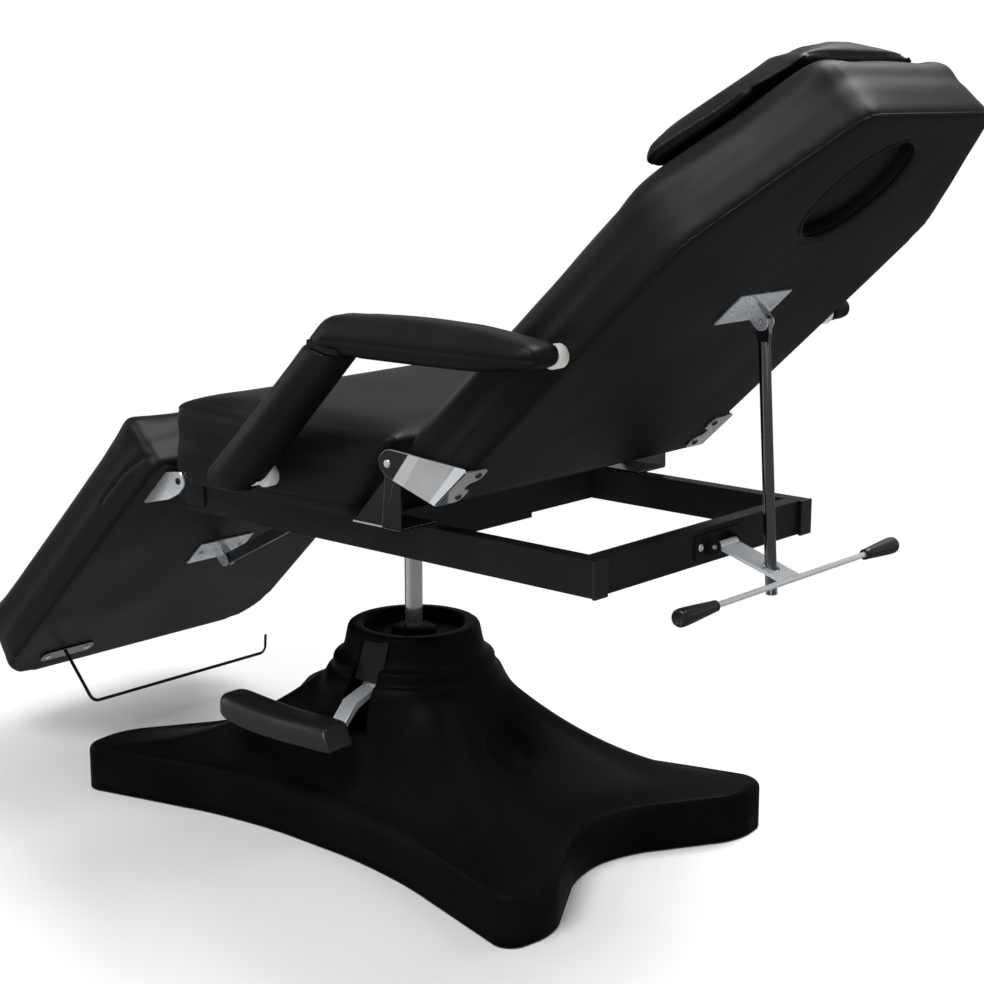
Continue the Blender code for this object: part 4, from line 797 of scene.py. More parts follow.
def hole_rim(middle, reach, width, low, into, skin):
    """Soft rim round the face hole in the back's underside."""
    grow = 1.045
    lift = 0.001
    radius = 0.0042
    steps = 72
    loop = [(middle.x + reach * grow * math.cos(turn), width * grow * math.sin(turn), low + lift)
            for turn in full_turn(steps)]
    return tube_along("face_hole_rim", hugged(skin, loop, into, sink=0.0012), radius, "vinyl")


def slit_shade_lip(side, s, into, skin):
    """Lip of the slit in the side of the back's cover, over its hinge, in the darker board cloth as painted shade
    of the slit's recess.
    """
    start = Vector((0.085, 0.0, -0.058))
    end = Vector((0.151, 0.0, -0.052))
    half_length = 0.033
    half_height = 0.0028
    stand_off = 0.0006
    lip_radius = 0.0011
    steps = 40
    along = (end - start).normalized()
    across = Vector((-along.z, 0.0, along.x))
    loop = []
    for turn in full_turn(steps):
        place = (start + end) / 2.0
        place = place + along * (half_length * math.cos(turn)) + across * (half_height * math.sin(turn))
        loop.append((place.x, s * (CUSHION_HALF_WIDTH + stand_off), place.z))
    # The darker board cloth of the lip is painted shade for the slit's recess
    return tube_along("slit_shade_lip_" + side, hugged(skin, loop, into, sink=0.0), lip_radius, "board")


def leg_pad():
    size = sizes()
    into = leg_frame()
    bm = flat_to(solid_copy("leg_cushion"), into)
    top_seam = extent(bm)[1].z - 0.022
    low = deepened(bm, size.board)
    held_band = 0.010
    slack_depth = 0.0030
    slack_width = 0.0034
    seams = [{"measure": side_seam(top_seam), "depth": size.seam_depth, "width": size.seam_width}]
    for _, s in SIDES:
        for a, b in zip(LEG_SIDE_SEAM, LEG_SIDE_SEAM[1:]):
            seams.append({"measure": line_seam(s, a, b), "depth": slack_depth, "width": slack_width})
    pad = filled_pad("leg_pad", bm, size.large_voxel, held_below(low + held_band),
                     crowned(side=0.0035, top=0.010), seams, into)
    fixed(pad, "leg_rest", "vinyl", "leg_cushion", "leg_board")


def pillow_shaped(bm, low, high):
    """Thins a pillow's rim, and widens and droops its head end."""
    head_half_width = 0.115
    rim = 0.33
    thin_rim = 0.12
    rise_at_middle = 0.014
    fall_at_sides = 0.040
    widening = 0.25
    foot_reach = 0.006
    droop_from = 0.45
    narrow_from = 0.1
    long_edges = [edge for edge in bm.edges if edge.calc_length() > 0.02]
    bmesh.ops.subdivide_edges(bm, edges=long_edges, cuts=4)
    for vert in bm.verts:
        along = (vert.co.x - low.x) / (high.x - low.x)
        ramp = float(eased_in(along, droop_from, 1.0))
        half = high.y + (head_half_width - high.y) * float(eased_in(along, narrow_from, 1.0))
        rise = (vert.co.z - low.z) / (high.z - low.z)
        if rise < rim:
            rise = rise * thin_rim / rim
        else:
            rise = thin_rim + (rise - rim) / (1.0 - rim) * (1.0 - thin_rim)
        droop = rise_at_middle - fall_at_sides * (vert.co.y / half) ** 2
        vert.co.z = low.z + rise * (high.z - low.z) + min(1.0, 2.0 * rise) * ramp * droop
        vert.co.y *= 1.0 + widening * ramp
        vert.co.x -= foot_reach * (1.0 - along) ** 2
    bm.normal_update()
    return bm


def head_pillow():
    size = sizes()
    into = back_frame()
    bm = flat_to(solid_copy("pillow"), into)
    low, high = extent(bm)
    held_band = 0.003
    travel = 0.007
    seam = side_seam(low.z + 0.008, flattest=0.8)
    pad = filled_pad("head_pillow", pillow_shaped(bm, low, high), size.small_voxel,
                     held_below(low.z + held_band), even_cap(travel),
                     [{"measure": seam, "depth": size.seam_depth, "width": size.seam_width}], into)
    fixed(pad, "backrest", "vinyl", "pillow")


def face_pad():
    size = sizes()
    into = back_frame()
    bm = flat_to(solid_copy("face_plug"), into)
    low = extent(bm)[0].z
    loose_depth = 0.03
    face_travel = 0.007
    side_travel = 0.001
    pad = filled_pad("face_pad", bm, size.small_voxel,
                     lambda co: co[:, 2] > low + loose_depth,
                     lambda co, normal: np.where(normal[:, 2] < -0.5, face_travel, side_travel), into=into)
    fixed(pad, "backrest", "vinyl", "face_plug")


def arm_shaped(bm, low, high):
    """Crowns an arm's top and draws its rear end to a blunt point."""
    middle = (low.z + high.z) / 2.0
    half = (high.z - low.z) / 2.0
    rear_run = 0.125
    crown_height = 0.005
    crown_x = 0.33
    crown_run = 0.10
    rear_fall = 0.011
    rear_rise = 0.012
    long_edges = [edge for edge in bm.edges if edge.calc_length() > 0.03]
    bmesh.ops.subdivide_edges(bm, edges=long_edges, cuts=12)
    for vert in bm.verts:
        rear = float(eased_in(vert.co.x, high.x - rear_run, high.x))
        crown = crown_height * math.exp(-((vert.co.x - crown_x) / crown_run) ** 2)
        part = (vert.co.z - middle) / half
        vert.co.z += part * (crown - rear_fall * rear) if part > 0.0 else -part * rear_rise * rear
    return bm


def post_shaped(bm):
    """Fills out a post's depth below the elbow and draws its foot down past the bush."""
    growth_ends = (0.55, 0.9)
    drop_ends = (0.0, 0.35)
    along = Vector((0.7104, 0.0, 0.7038))
    across = Vector((-along.z, 0.0, along.x))
    growth = 0.16
    foot_drop = 0.012
    runs = [vert.co.dot(along) for vert in bm.verts]
    ways = [vert.co.dot(across) for vert in bm.verts]
    foot = min(runs)
    length = max(runs) - foot
    middle = (min(ways) + max(ways)) / 2.0
    for vert, run, way in zip(bm.verts, runs, ways):
        part = (run - foot) / length
        vert.co += across * ((way - middle) * growth * (1.0 - float(eased_in(part, *growth_ends))))
        vert.co -= along * (foot_drop * (1.0 - float(eased_in(part, *drop_ends))))
    bm.normal_update()
    return bm


def arm_pads():
    size = sizes()
    inner = min(abs(corner.y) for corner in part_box("arm_pad_near"))
    low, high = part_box("arm_pad_far")
    axis = (low.z + high.z) / 2.0
    held_band = 0.006
    cap = even_cap(travel=0.0042)
    arm_seam = ((0.190, axis - 0.006), (0.548, axis - 0.002))
    post_seam = ((0.002, 0.556), (0.214, 0.766))

    def held(co):
        return np.abs(co[:, 1]) < inner + held_band

    for side, s in SIDES:
        arm = filled_pad("arm_cover_" + side, arm_shaped(solid_copy("arm_pad_" + side), low, high),
                         size.small_voxel, held, cap,
                         [{"measure": line_seam(s, *arm_seam), "depth": 0.0026, "width": 0.0026}])
        fixed(arm, "arm_" + side, "vinyl", "arm_pad_" + side)
        post = filled_pad("post_cover_" + side, post_shaped(solid_copy("arm_post_" + side)),
                          size.small_voxel, held, cap,
                          [{"measure": line_seam(s, *post_seam), "depth": 0.0022, "width": 0.0024}])
        fixed(post, "post_" + side, "vinyl", "arm_post_" + side)
        fold_roll(side, s, inner, high.y)


def fold_roll(side, s, inner, outer):
    """Soft fold of the cover that closes the crease between an arm and its post."""
    length = 0.062
    thickness = 0.009
    side_gap = 0.006
    wave = 0.0012
    waves_across = 260.0
    waves_along = 90.0
    slope = math.radians(10.7)
    elbow_x = 0.186
    elbow_z = 0.7868
    bm = bmesh.new()
    bmesh.ops.create_cube(bm, size=1.0)
    bmesh.ops.scale(bm, vec=(length, outer - inner - side_gap, thickness), verts=bm.verts[:])
    bmesh.ops.subdivide_edges(bm, edges=bm.edges[:], cuts=3, use_grid_fill=True)
    for vert in bm.verts:
        vert.co.z += wave * math.sin(vert.co.y * waves_across) * math.cos(vert.co.x * waves_along)
    middle = Matrix.Translation((elbow_x, s * (inner + outer) / 2.0, elbow_z))
    bmesh.ops.transform(bm, matrix=middle @ Matrix.Rotation(slope, 4, "Y"), verts=bm.verts[:])
    obj = subdivided(linked("elbow_fold_" + side, bm, "vinyl"), levels=2)
    fixed(obj, "arm_" + side, "vinyl")


# Base cover and pedal

def rectangle(left, right, low, high):
    return [(left, low), (right, low), (right, high), (left, high)]


def rounded_face(corners, offsets, segments):
    """Flat face with its corners rounded, those with the same offset in one step."""
    bm = bmesh.new()
    verts = [bm.verts.new((x, y, 0.0)) for x, y in corners]
    bm.faces.new(verts)
    groups = {}
    for vert, offset in zip(verts, offsets):
        groups.setdefault(offset, []).append(vert)
    for offset, chosen in sorted(groups.items()):
        rounded(bm, chosen, offset, segments, "VERTICES")
    return bm


def cover_profile(reach, edge):
    """Radius and height of the cover, from its foot on the floor up to the bell's rim and recess."""
    wall_top = 0.03
    top = 0.075
    edge_steps = 6
    slope_steps = 76
    slope_end = 0.143
    slope_rise = 0.145
    hollow = 2.15
    line = [(reach, COVER_FOOT), (reach, wall_top)]
    for step in range(edge_steps + 1):
        angle = math.pi / 2.0 * step / edge_steps
        line.append((reach - edge * (1.0 - math.cos(angle)), top - edge * (1.0 - math.sin(angle))))
    shoulder = reach - edge
    for step in range(1, slope_steps + 1):
        part = step / slope_steps
        line.append((shoulder + (slope_end - shoulder) * part, top + slope_rise * part ** hollow))
    return line + list(BELL_PROFILE)


def cover_outline():
    """Closed loop of edges round the cover's foot, cut finer at the head end where the scoop is."""
    head = Vector((1.0, 0.0, 0.0))
    head_half_angle = math.radians(24.0)
    fine = math.radians(0.6)
    coarse = math.radians(1.5)
    half = list(COVER_QUARTER) + [(-x, y) for x, y in reversed(COVER_QUARTER)]
    offsets = COVER_CORNERS + COVER_CORNERS[::-1]
    bm = rounded_face(half + [(-x, -y) for x, y in half], offsets * 2, segments=9)
    bmesh.ops.delete(bm, geom=bm.faces[:], context="FACES_ONLY")
    for edge in bm.edges[:]:
        a, b = (vert.co for vert in edge.verts)
        at_head = max(a.angle(head), b.angle(head)) < head_half_angle
        cuts = int(a.angle(b) / (fine if at_head else coarse))
        if cuts:
            bmesh.ops.subdivide_edges(bm, edges=[edge], cuts=cuts)
    return bm


def base_cover():
    size = sizes()
    bm = cover_outline()
    digits = 7
    soft_from = 0.62
    soft_run = 0.25
    reach = bm.verts.layers.float.new("reach")
    profiles = {}
    for vert in bm.verts:
        vert[reach] = vert.co.length
        side = abs(vert.co.y) / vert.co.length
        soft = min(1.0, max(0.0, (side - soft_from) / soft_run))
        edge = size.cover_edge + (size.cover_soft_edge - size.cover_edge) * soft
        profile = cover_profile(vert[reach], edge)
        profiles[round(vert[reach], digits)] = profile
    for vert in bm.verts:
        vert.co.z = COVER_FOOT
    loop = bm.edges[:]
    for step in range(1, len(profile)):
        grown = bmesh.ops.extrude_edge_only(bm, edges=loop)["geom"]
        loop = [item for item in grown if isinstance(item, bmesh.types.BMEdge)]
        for vert in new_verts(grown):
            radius, height = profiles[round(vert[reach], digits)][step]
            flat = Vector((vert.co.x, vert.co.y, 0.0)).normalized() * radius
            vert.co = (flat.x, flat.y, height)
    bmesh.ops.recalc_face_normals(bm, faces=bm.faces[:])
    top = max(bm.faces, key=lambda face: face.calc_center_median().z)
    if top.normal.z < 0.0:
        bmesh.ops.reverse_faces(bm, faces=bm.faces[:])
    bm.normal_update()
    dished(bm, centre=Vector((0.214, -0.010, 0.139)), radius=0.056, depth=0.011)
    obj = linked("base_moulding", bm, "shell")
    wall = obj.modifiers.new("wall", "SOLIDIFY")
    wall.thickness = size.cover_wall
    wall.offset = -1.0
    applied(obj)
    cut_slot(obj)
    fixed(obj, "base", "shell", "base_cover")


def dished(bm, centre, radius, depth):
    """Scoop pressed into the cover's slope, with a crisp lip on the side of the bell."""
    least_floor = 0.12
    bell_floor = 0.72
    for vert in bm.verts:
        away = (vert.co - centre) / radius
        if away.length < 1.0:
            towards_bell = max(0.0, -away.normalized().x) if away.length > 1e-6 else 0.0
            full = least_floor + bell_floor * towards_bell
            vert.co -= vert.normal * (depth * (1.0 - float(eased_in(away.length, full, 1.0))))


def cut_slot(obj):
    """Upright slot through the bell for the pedal's bar."""
    depth = 0.150
    middle_y = -0.155
    corner = 0.006
    bm = bmesh.new()
    bmesh.ops.create_cube(bm, size=1.0)
    bmesh.ops.scale(bm, vec=(SLOT_WIDTH, depth, SLOT_TOP - SLOT_FOOT), verts=bm.verts[:])
    bmesh.ops.translate(bm, vec=(SLOT_X, middle_y, (SLOT_TOP + SLOT_FOOT) / 2.0), verts=bm.verts[:])
    through = [edge for edge in bm.edges if abs((edge.verts[0].co - edge.verts[1].co).y) > depth / 2.0]
    rounded(bm, through, corner, segments=4)
    cutter = linked("slot_cutter", bm, "shell")
    cut = obj.modifiers.new("slot", "BOOLEAN")
    cut.operation = "DIFFERENCE"
    cut.solver = "EXACT"
    cut.object = cutter
    applied(obj)
    bpy.data.objects.remove(cutter)


def slot_panels():
    """Plain panel that closes the slot above the pedal's bar, and a dark screen inside behind the bar as painted
    shade, hiding the lit inside of the cover.
    """
    size = sizes()
    half_sheet = 0.001
    panel_half = SLOT_WIDTH / 2.0 + 0.003
    panel_top = SLOT_TOP + 0.002
    shade_screen_x = SLOT_X - 0.0315
    shade_screen_y = -0.062
    for name, half, foot, head, slot in (
            ("slot_panel", panel_half, (SLOT_X, -0.1165, 0.236), (SLOT_X, -0.0985, panel_top), "paint"),
            # Dark screen of the cover's moulding, put where there is only shade inside the cover
            ("slot_shade_screen", 0.0775, (shade_screen_x, shade_screen_y, 0.080), (shade_screen_x, shade_screen_y, 0.235), "shell")):
        rise = Vector(head) - Vector(foot)
        tall = rise.length
        along = Vector((1.0, 0.0, 0.0))
        turn = Matrix((along, rise / tall, along.cross(rise / tall))).transposed().to_4x4()
        bm = plate(rectangle(-half, half, 0.0, tall), SMALL_CORNERS, -half_sheet, half_sheet,
                   Matrix.Translation(foot) @ turn)
        obj = linked(name, eased(bm, size.edge_ease), slot)
        fixed(shaded(obj), "base", "plastic")


def pedal_pad():
    low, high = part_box("pedal_pad")
    depth = high.y - low.y
    tall = high.z - low.z
    span = high.x - low.x
    corner_radii = (0.0030, 0.0080, 0.0081, 0.0200)
    end_slant = 0.6
    slant_from = 0.72
    toe_rise = 0.006
    toe_part = 0.3
    sag = 0.004
    bm = rounded_face(rectangle(-depth / 2, depth / 2, -tall / 2, tall / 2), corner_radii, segments=4)
    bmesh.ops.transform(bm, matrix=Matrix(((0, 0, 1), (1, 0, 0), (0, 1, 0))).to_4x4(), verts=bm.verts[:])
    middle = Vector((0.0, (low.y + high.y) / 2.0, (low.z + high.z) / 2.0))
    about = Matrix.Translation(-middle)
    bmesh.ops.translate(bm, vec=middle + Vector((low.x, 0.0, 0.0)), verts=bm.verts[:])
    bmesh.ops.scale(bm, vec=(1.0, SHOE_START, SHOE_START), space=about, verts=bm.verts[:])
    face = bm.faces[:]
    last_scale = SHOE_START
    last_x = low.x
    for part, scale in SHOE_SECTIONS:
        grown = bmesh.ops.extrude_face_region(bm, geom=face)["geom"]
        bmesh.ops.delete(bm, geom=[item for item in face if item.is_valid], context="FACES_ONLY")
        face = [item for item in grown if isinstance(item, bmesh.types.BMFace)]
        verts = new_verts(grown)
        x = low.x + span * part
        bmesh.ops.translate(bm, vec=(x - last_x, 0.0, 0.0), verts=verts)
        ratio = scale / last_scale
        bmesh.ops.scale(bm, vec=(1.0, ratio, ratio), space=about, verts=verts)
        last_scale = scale
        last_x = x
    bmesh.ops.holes_fill(bm, edges=[edge for edge in bm.edges if edge.is_boundary])
    bmesh.ops.recalc_face_normals(bm, faces=bm.faces[:])
    for vert in bm.verts:
        part = (vert.co.x - low.x) / span
        slant = float(eased_in(part, slant_from, 1.0))
        vert.co.x -= slant * (vert.co.z - middle.z) * end_slant
        vert.co.z += (toe_rise * max(0.0, 1.0 - part / toe_part) ** 2
                      - sag * math.sin(math.pi * min(1.0, part)) ** 2)
    obj = subdivided(linked("pedal_shoe", bm, "pedal rubber"), levels=2)
    fixed(obj, "pedal", "plastic", "pedal_pad")


# Plates, tubes and fasteners

def shaded(obj):
    """Lets wide faces keep their normals beside eased edges."""
    weigh = obj.modifiers.new("flat faces", "WEIGHTED_NORMAL")
    weigh.weight = 80
    return obj


def eased(bm, width, sharpness=math.radians(32.0)):
    """Bevels the sharp edges of a hard piece."""
    sharp = [edge for edge in bm.edges if edge.is_manifold and edge.calc_face_angle() > sharpness]
    rounded(bm, sharp, width, segments=2)
    return bm


def eased_copy(node, width, look=None, flatness=math.radians(1.0)):
    """Copy of a hard node with its flat areas made whole and its edges eased, in place of the node."""
    bm = solid_copy(node)
    bmesh.ops.dissolve_limit(bm, angle_limit=flatness, use_dissolve_boundaries=False, verts=bm.verts[:],
                             edges=bm.edges[:])
    obj = shaded(linked(node + "_eased", eased(bm, width), look or SLOTS[node]))
    return fixed(obj, BODY_OF[node], SLOTS[node], node)


def joined(*parts):
    """One bmesh from several."""
    whole = bmesh.new()
    for part in parts:
        mesh = bpy.data.meshes.new("part")
        part.to_mesh(mesh)
        part.free()
        whole.from_mesh(mesh)
        bpy.data.meshes.remove(mesh)
    return whole


def plate(corners, radii, start, end, place):
    """Plate with rounded corners drawn in XY, thick from start to end along Z, then placed."""
    bm = rounded_face(corners, radii, segments=5)
    bmesh.ops.translate(bm, vec=(0.0, 0.0, start), verts=bm.verts[:])
    grown = bmesh.ops.extrude_face_region(bm, geom=bm.faces[:])["geom"]
    bmesh.ops.translate(bm, vec=(0.0, 0.0, end - start), verts=new_verts(grown))
    bmesh.ops.transform(bm, matrix=place, verts=bm.verts[:])
    bmesh.ops.recalc_face_normals(bm, faces=bm.faces[:])
    return bm


def upright(s):
    """Matrix that stands a plate drawn in XY up along the table, its thickness out to one side."""
    return Matrix(((1.0, 0.0, 0.0), (0.0, 0.0, s), (0.0, 1.0, 0.0))).to_4x4()


def lathe(profile, place, steps=40):
    """Turned shape from radius and height pairs, closed on its axis, then placed."""
    bm = bmesh.new()
    verts = [bm.verts.new((radius, 0.0, height)) for radius, height in profile]
    edges = [bm.edges.new(pair) for pair in zip(verts, verts[1:])]
    bmesh.ops.spin(bm, geom=verts + edges, cent=(0.0, 0.0, 0.0), axis=(0.0, 0.0, 1.0), angle=math.tau,
                   steps=steps, use_merge=True)
    bmesh.ops.remove_doubles(bm, verts=bm.verts[:], dist=1e-6)
    bmesh.ops.transform(bm, matrix=place, verts=bm.verts[:])
    bmesh.ops.recalc_face_normals(bm, faces=bm.faces[:])
    return bm


def facing(place, direction):
    """Matrix that moves a shape from the origin to a place and turns its Z along a direction."""
    return Matrix.Translation(place) @ Vector(direction).to_track_quat("Z", "Y").to_matrix().to_4x4()


def screw_head(place):
    """Pan head with a cross recess."""
    radius = sizes().screw_radius
    arm = radius * 0.14
    flat = radius * 0.62
    recess_depth = 0.0012
    recess_wall = 0.00005
    bm = lathe([(0.0, 0.0), (radius, 0.0), (radius, 0.0007), (radius * 0.93, 0.0014),
                (radius * 0.78, 0.0020), (flat, 0.0023), (0.0, 0.0024)], Matrix.Identity(4), steps=24)
    for axis in (Vector((1.0, 0.0, 0.0)), Vector((0.0, 1.0, 0.0))):
        for way in (-arm, arm):
            bmesh.ops.bisect_plane(bm, geom=bm.verts[:] + bm.edges[:] + bm.faces[:], dist=1e-7,
                                   plane_co=axis * way, plane_no=axis)
    recess = []
    for face in bm.faces:
        middle = face.calc_center_median()
        near = min(abs(middle.x), abs(middle.y))
        if face.normal.z > 0.9 and near < arm and middle.to_2d().length < flat:
            recess.append(face)
    bmesh.ops.inset_region(bm, faces=recess, thickness=recess_wall, depth=-recess_depth,
                           use_even_offset=True)
    bmesh.ops.transform(bm, matrix=place, verts=bm.verts[:])
    return bm


def screws(name, body, places, slot="zinc"):
    """Group of screw heads on one body."""
    obj = linked(name, joined(*[screw_head(facing(place, out)) for place, out in places]), slot)
    fixed(obj, body, slot)


def painted_reflection_split(bm, chosen, middle, s):
    """Lays the second, lit finish on faces chosen by their place along the table and how far they face out, and
    leaves the first, darker finish on the rest, as a painted reflection.
    """
    bm.normal_update()
    for face in bm.faces:
        face.material_index = int(chosen(face.calc_center_median().x - middle, face.normal.y * s))


def hinge_brackets():
    """Riveted bracket on each side rail: a web with a wing, painted with a dark reflection outside and bright
    chrome within, and a foot.
    """
    size = sizes()
    axis = JOINT_AT["back_tilt"]
    low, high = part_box("hinge_bracket_far")
    foot = low.z - axis.z
    left = low.x - axis.x
    right = 0.021
    sheet = 0.003
    wing_sheet = 0.0012
    web_in = CUSHION_HALF_WIDTH + 0.0015
    web_out = web_in + sheet
    inwards = -0.5
    sideways = 0.2
    outwards = 0.98
    rear_of_web = 0.004
    wing_only = -0.014
    for side, s in SIDES:
        place = Matrix.Translation(axis) @ upright(s)
        web = plate([(-0.0155, foot), (right, foot), (right, -0.004), (0.017, 0.017), (-0.017, 0.017),
                     (-0.017, -0.008), (-0.009, -0.020)],
                    (0.0005, 0.003, 0.010, 0.0155, 0.0156, 0.006, 0.004), web_in, web_out, place)
        wing = plate([(left, foot), (-0.0150, foot), (-0.0085, -0.021), (left + 0.004, foot + 0.004)],
                     (0.0005, 0.0006, 0.0007, 0.001), web_in, web_in + wing_sheet, place)
        base = plate(rectangle(left, right, *sorted((s * low.y, s * web_out))), SMALL_CORNERS,
                     foot, foot + sheet, Matrix.Translation(axis))
        for part in (web, wing, base):
            eased(part, size.bright_edge)
        # Painted reflection: the chosen faces take bright chrome, the rest its dark copy
        painted_reflection_split(web, lambda x, out: out < inwards or (out < outwards and x < rear_of_web), axis.x, s)
        painted_reflection_split(wing, lambda x, out: out < inwards, axis.x, s)
        painted_reflection_split(base, lambda x, out: out > sideways and x < wing_only, axis.x, s)
        obj = linked("hinge_bracket_plate_" + side, joined(web, wing, base), "painted dark reflection", "chrome")
        fixed(shaded(obj), "seat_frame", "chrome", "hinge_bracket_" + side)
        end = Vector((axis.x, s * (high.y - RIVET_HEIGHT), axis.z))
        rivet = linked("hinge_rivet_" + side, lathe(RIVET_PROFILE, facing(end, (0.0, s, 0.0))), "chrome")
        fixed(rivet, "seat_frame", "chrome")


def reflection_banded(bm, into, s, outwards=0.98):
    """Lays the finishes of a hinge plate's outer face in bands that run along the back: a painted reflection in
    lighter and darker copies of chrome.
    """
    inverse = into.inverted()
    for height, slope, _ in HINGE_REFLECTION_BANDS:
        bmesh.ops.bisect_plane(bm, geom=bm.verts[:] + bm.edges[:] + bm.faces[:],
                               plane_co=into @ Vector((0.0, 0.0, height)),
                               plane_no=into.to_3x3() @ Vector((-slope, 0.0, 1.0)))
    for face in bm.faces:
        if face.normal.y * s > outwards:
            at = inverse @ face.calc_center_median()
            above = [look for height, slope, look in HINGE_REFLECTION_BANDS if at.z > height + slope * at.x]
            face.material_index = above[0] if above else LAST_REFLECTION_BAND
    return bm


def hinge_arms():
    """Plate on each hinge with painted reflection bands, and a two lobed flange screwed under the backrest."""
    size = sizes()
    into = back_frame()
    low, high = own_box("hinge_arm_far", into)
    end = high.x
    start = end - 0.076
    sheet = 0.003
    lobe = 0.027
    notch_run = 0.004
    notch_depth = 0.017
    screw_in = 0.013
    places = []
    for side, s in SIDES:
        web = plate([(-0.014, -0.012), (start, low.z), (end, low.z), (end, low.z + 0.0072), (0.016, 0.012),
                     (0.006, 0.018), (-0.016, 0.014)],
                    (0.012, 0.002, 0.003, 0.0031, 0.010, 0.008, 0.0121), high.y - sheet, high.y,
                    into @ upright(s))
        root = s * high.y
        tip = s * low.y
        notch = s * (low.y + notch_depth)
        flange = plate([(start, root), (end, root), (end, tip), (end - lobe, tip),
                        (end - lobe - notch_run, notch), (start + lobe + notch_run, notch),
                        (start + lobe, tip), (start, tip)],
                       (0.0010, 0.0011, 0.011, 0.008, 0.006, 0.0061, 0.0081, 0.0111), low.z, low.z + sheet,
                       into)
        whole = joined(reflection_banded(eased(web, size.edge_ease), into, s), eased(flange, size.edge_ease))
        # Its four finishes are the copies of chrome that make the painted reflection bands
        obj = linked("hinge_plate_" + side, whole, "hinge plate", "painted dark reflection", "chrome", "bright plate")
        fixed(shaded(obj), "backrest", "chrome", "hinge_arm_" + side)
        for along in (start + lobe * 0.5, end - lobe * 0.5):
            places.append((into @ Vector((along, s * (low.y + screw_in), low.z)), underside(into)))
    screws("hinge_screws", "backrest", places, "steel")


def plate_screws():
    """Screws of the strut and leg clevises, the leg hinge plates and the lever bracket."""
    leg = leg_frame()
    from_end = 0.014
    sheet = 0.003
    for node, matrix in (("strut_clevis", back_frame()), ("leg_clevis", leg)):
        low, high = own_box(node, matrix)
        middle = (low.x + high.x) / 2.0
        screws(node + "_screws", BODY_OF[node],
               [(matrix @ Vector((middle, y, high.z - sheet)), underside(matrix))
                for y in (low.y + from_end, high.y - from_end)])
    leg_plate_y = 0.227
    leg_plate_face = 0.0247
    leg_screw_runs = (-0.040, -0.078)
    screws("leg_hinge_screws", "leg_rest",
           [(leg @ Vector((along, s * leg_plate_y, leg_plate_face)), underside(leg))
            for _, s in SIDES for along in leg_screw_runs])
    low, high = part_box("lever_bracket")
    bracket_from_end = 0.010
    screws("lever_bracket_screws", "seat_frame",
           [(Vector((low.x + sheet, y, (low.z + high.z) / 2.0)), (1.0, 0.0, 0.0))
            for y in (low.y + bracket_from_end, high.y - bracket_from_end)])


def paper_holder():
    """Round ended plate with its two screws, and the dark wire with its upturned end leaning outwards."""
    size = sizes()
    leg = leg_frame()
    low, high = own_box("paper_plate", leg)
    half = (high.x - low.x) / 2.0
    from_end = 0.014
    wire_ease = 0.0002
    radii = [half * share for share in (0.96, 0.961, 0.962, 0.963)]
    strip = plate(rectangle(low.x, high.x, low.y, high.y), radii, low.z, high.z, leg)
    obj = linked("paper_strip", eased(strip, size.edge_ease), "strut plate")
    fixed(shaded(obj), "leg_rest", "chrome", "paper_plate")
    screws("paper_screws", "leg_rest", [(leg @ Vector((low.x + half, y, low.z)), underside(leg))
                                        for y in (low.y + from_end, high.y - from_end)])
    wire = eased_copy("paper_wire", wire_ease, "paint").data
    wire.transform(leg.inverted())
    foot = min(vert.co.z for vert in wire.vertices)
    end = max(vert.co.y for vert in wire.vertices)
    upturned = 0.017
    shift = 0.012
    lean = 0.66
    for vert in wire.vertices:
        if vert.co.y > end - upturned:
            vert.co.y += shift + lean * (vert.co.z - foot)
    wire.transform(leg)


def turned_piece(node, name, profile):
    """Turned piece in place of a node, its profile measured inwards from the node's outer end."""
    low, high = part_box(node)
    middle = (low + high) / 2.0
    s = math.copysign(1.0, middle.y)
    end = (middle.x, s * max(abs(low.y), abs(high.y)), middle.z)
    obj = linked(name, lathe(profile, facing(end, (0.0, -s, 0.0))), SLOTS[node])
    fixed(obj, BODY_OF[node], SLOTS[node], node)


def spacers():
    """Turned nylon bush between each armrest and what carries it."""
    for node in ("seat_spacer_near", "seat_spacer_far", "back_spacer_near", "back_spacer_far"):
        low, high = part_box(node)
        length = high.y - low.y
        radius = (high.x - low.x) / 2.0 * 0.82
        neck = radius * 0.66
        rim = 0.0012
        profile = [(0.0, 0.0), (neck, 0.0), (neck, length * 0.42), (radius * 0.72, length * 0.47),
                   (radius * 0.96, length * 0.52), (radius, length * 0.58), (radius, length - rim),
                   (radius * 0.95, length), (0.0, length)]
        turned_piece(node, node + "_bush", profile)


def strut_nut():
    """Six sided nut with eased corners under the lever's plate."""
    low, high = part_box("strut_stop")
    middle = (low + high) / 2.0
    radius = (high.x - low.x) / 2.0 * 0.66
    tall = high.z - low.z
    face = radius * 0.9
    profile = [(0.0, 0.0), (face, 0.0), (radius, tall * 0.12), (radius, tall * 0.88), (face, tall),
               (0.0, tall)]
    place = Matrix.Translation((middle.x, middle.y, low.z))
    nut = linked("strut_nut", lathe(profile, place, steps=6), "bright plate")
    for polygon in nut.data.polygons:
        polygon.use_smooth = False
    fixed(nut, BODY_OF["strut_stop"], SLOTS["strut_stop"], "strut_stop")


def lever_grips():
    """Tapered moulded grip on each end of the lever's bar."""
    for side, _ in SIDES:
        node = "grip_" + side
        low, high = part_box(node)
        radius = (high.x - low.x) / 2.0 * 0.80
        length = (high.y - low.y) * 0.84
        profile = [(radius * share, run) for share, run in GRIP_PROFILE]
        turned_piece(node, node + "_moulding", profile + [(radius * 0.62, length), (0.0, length)])


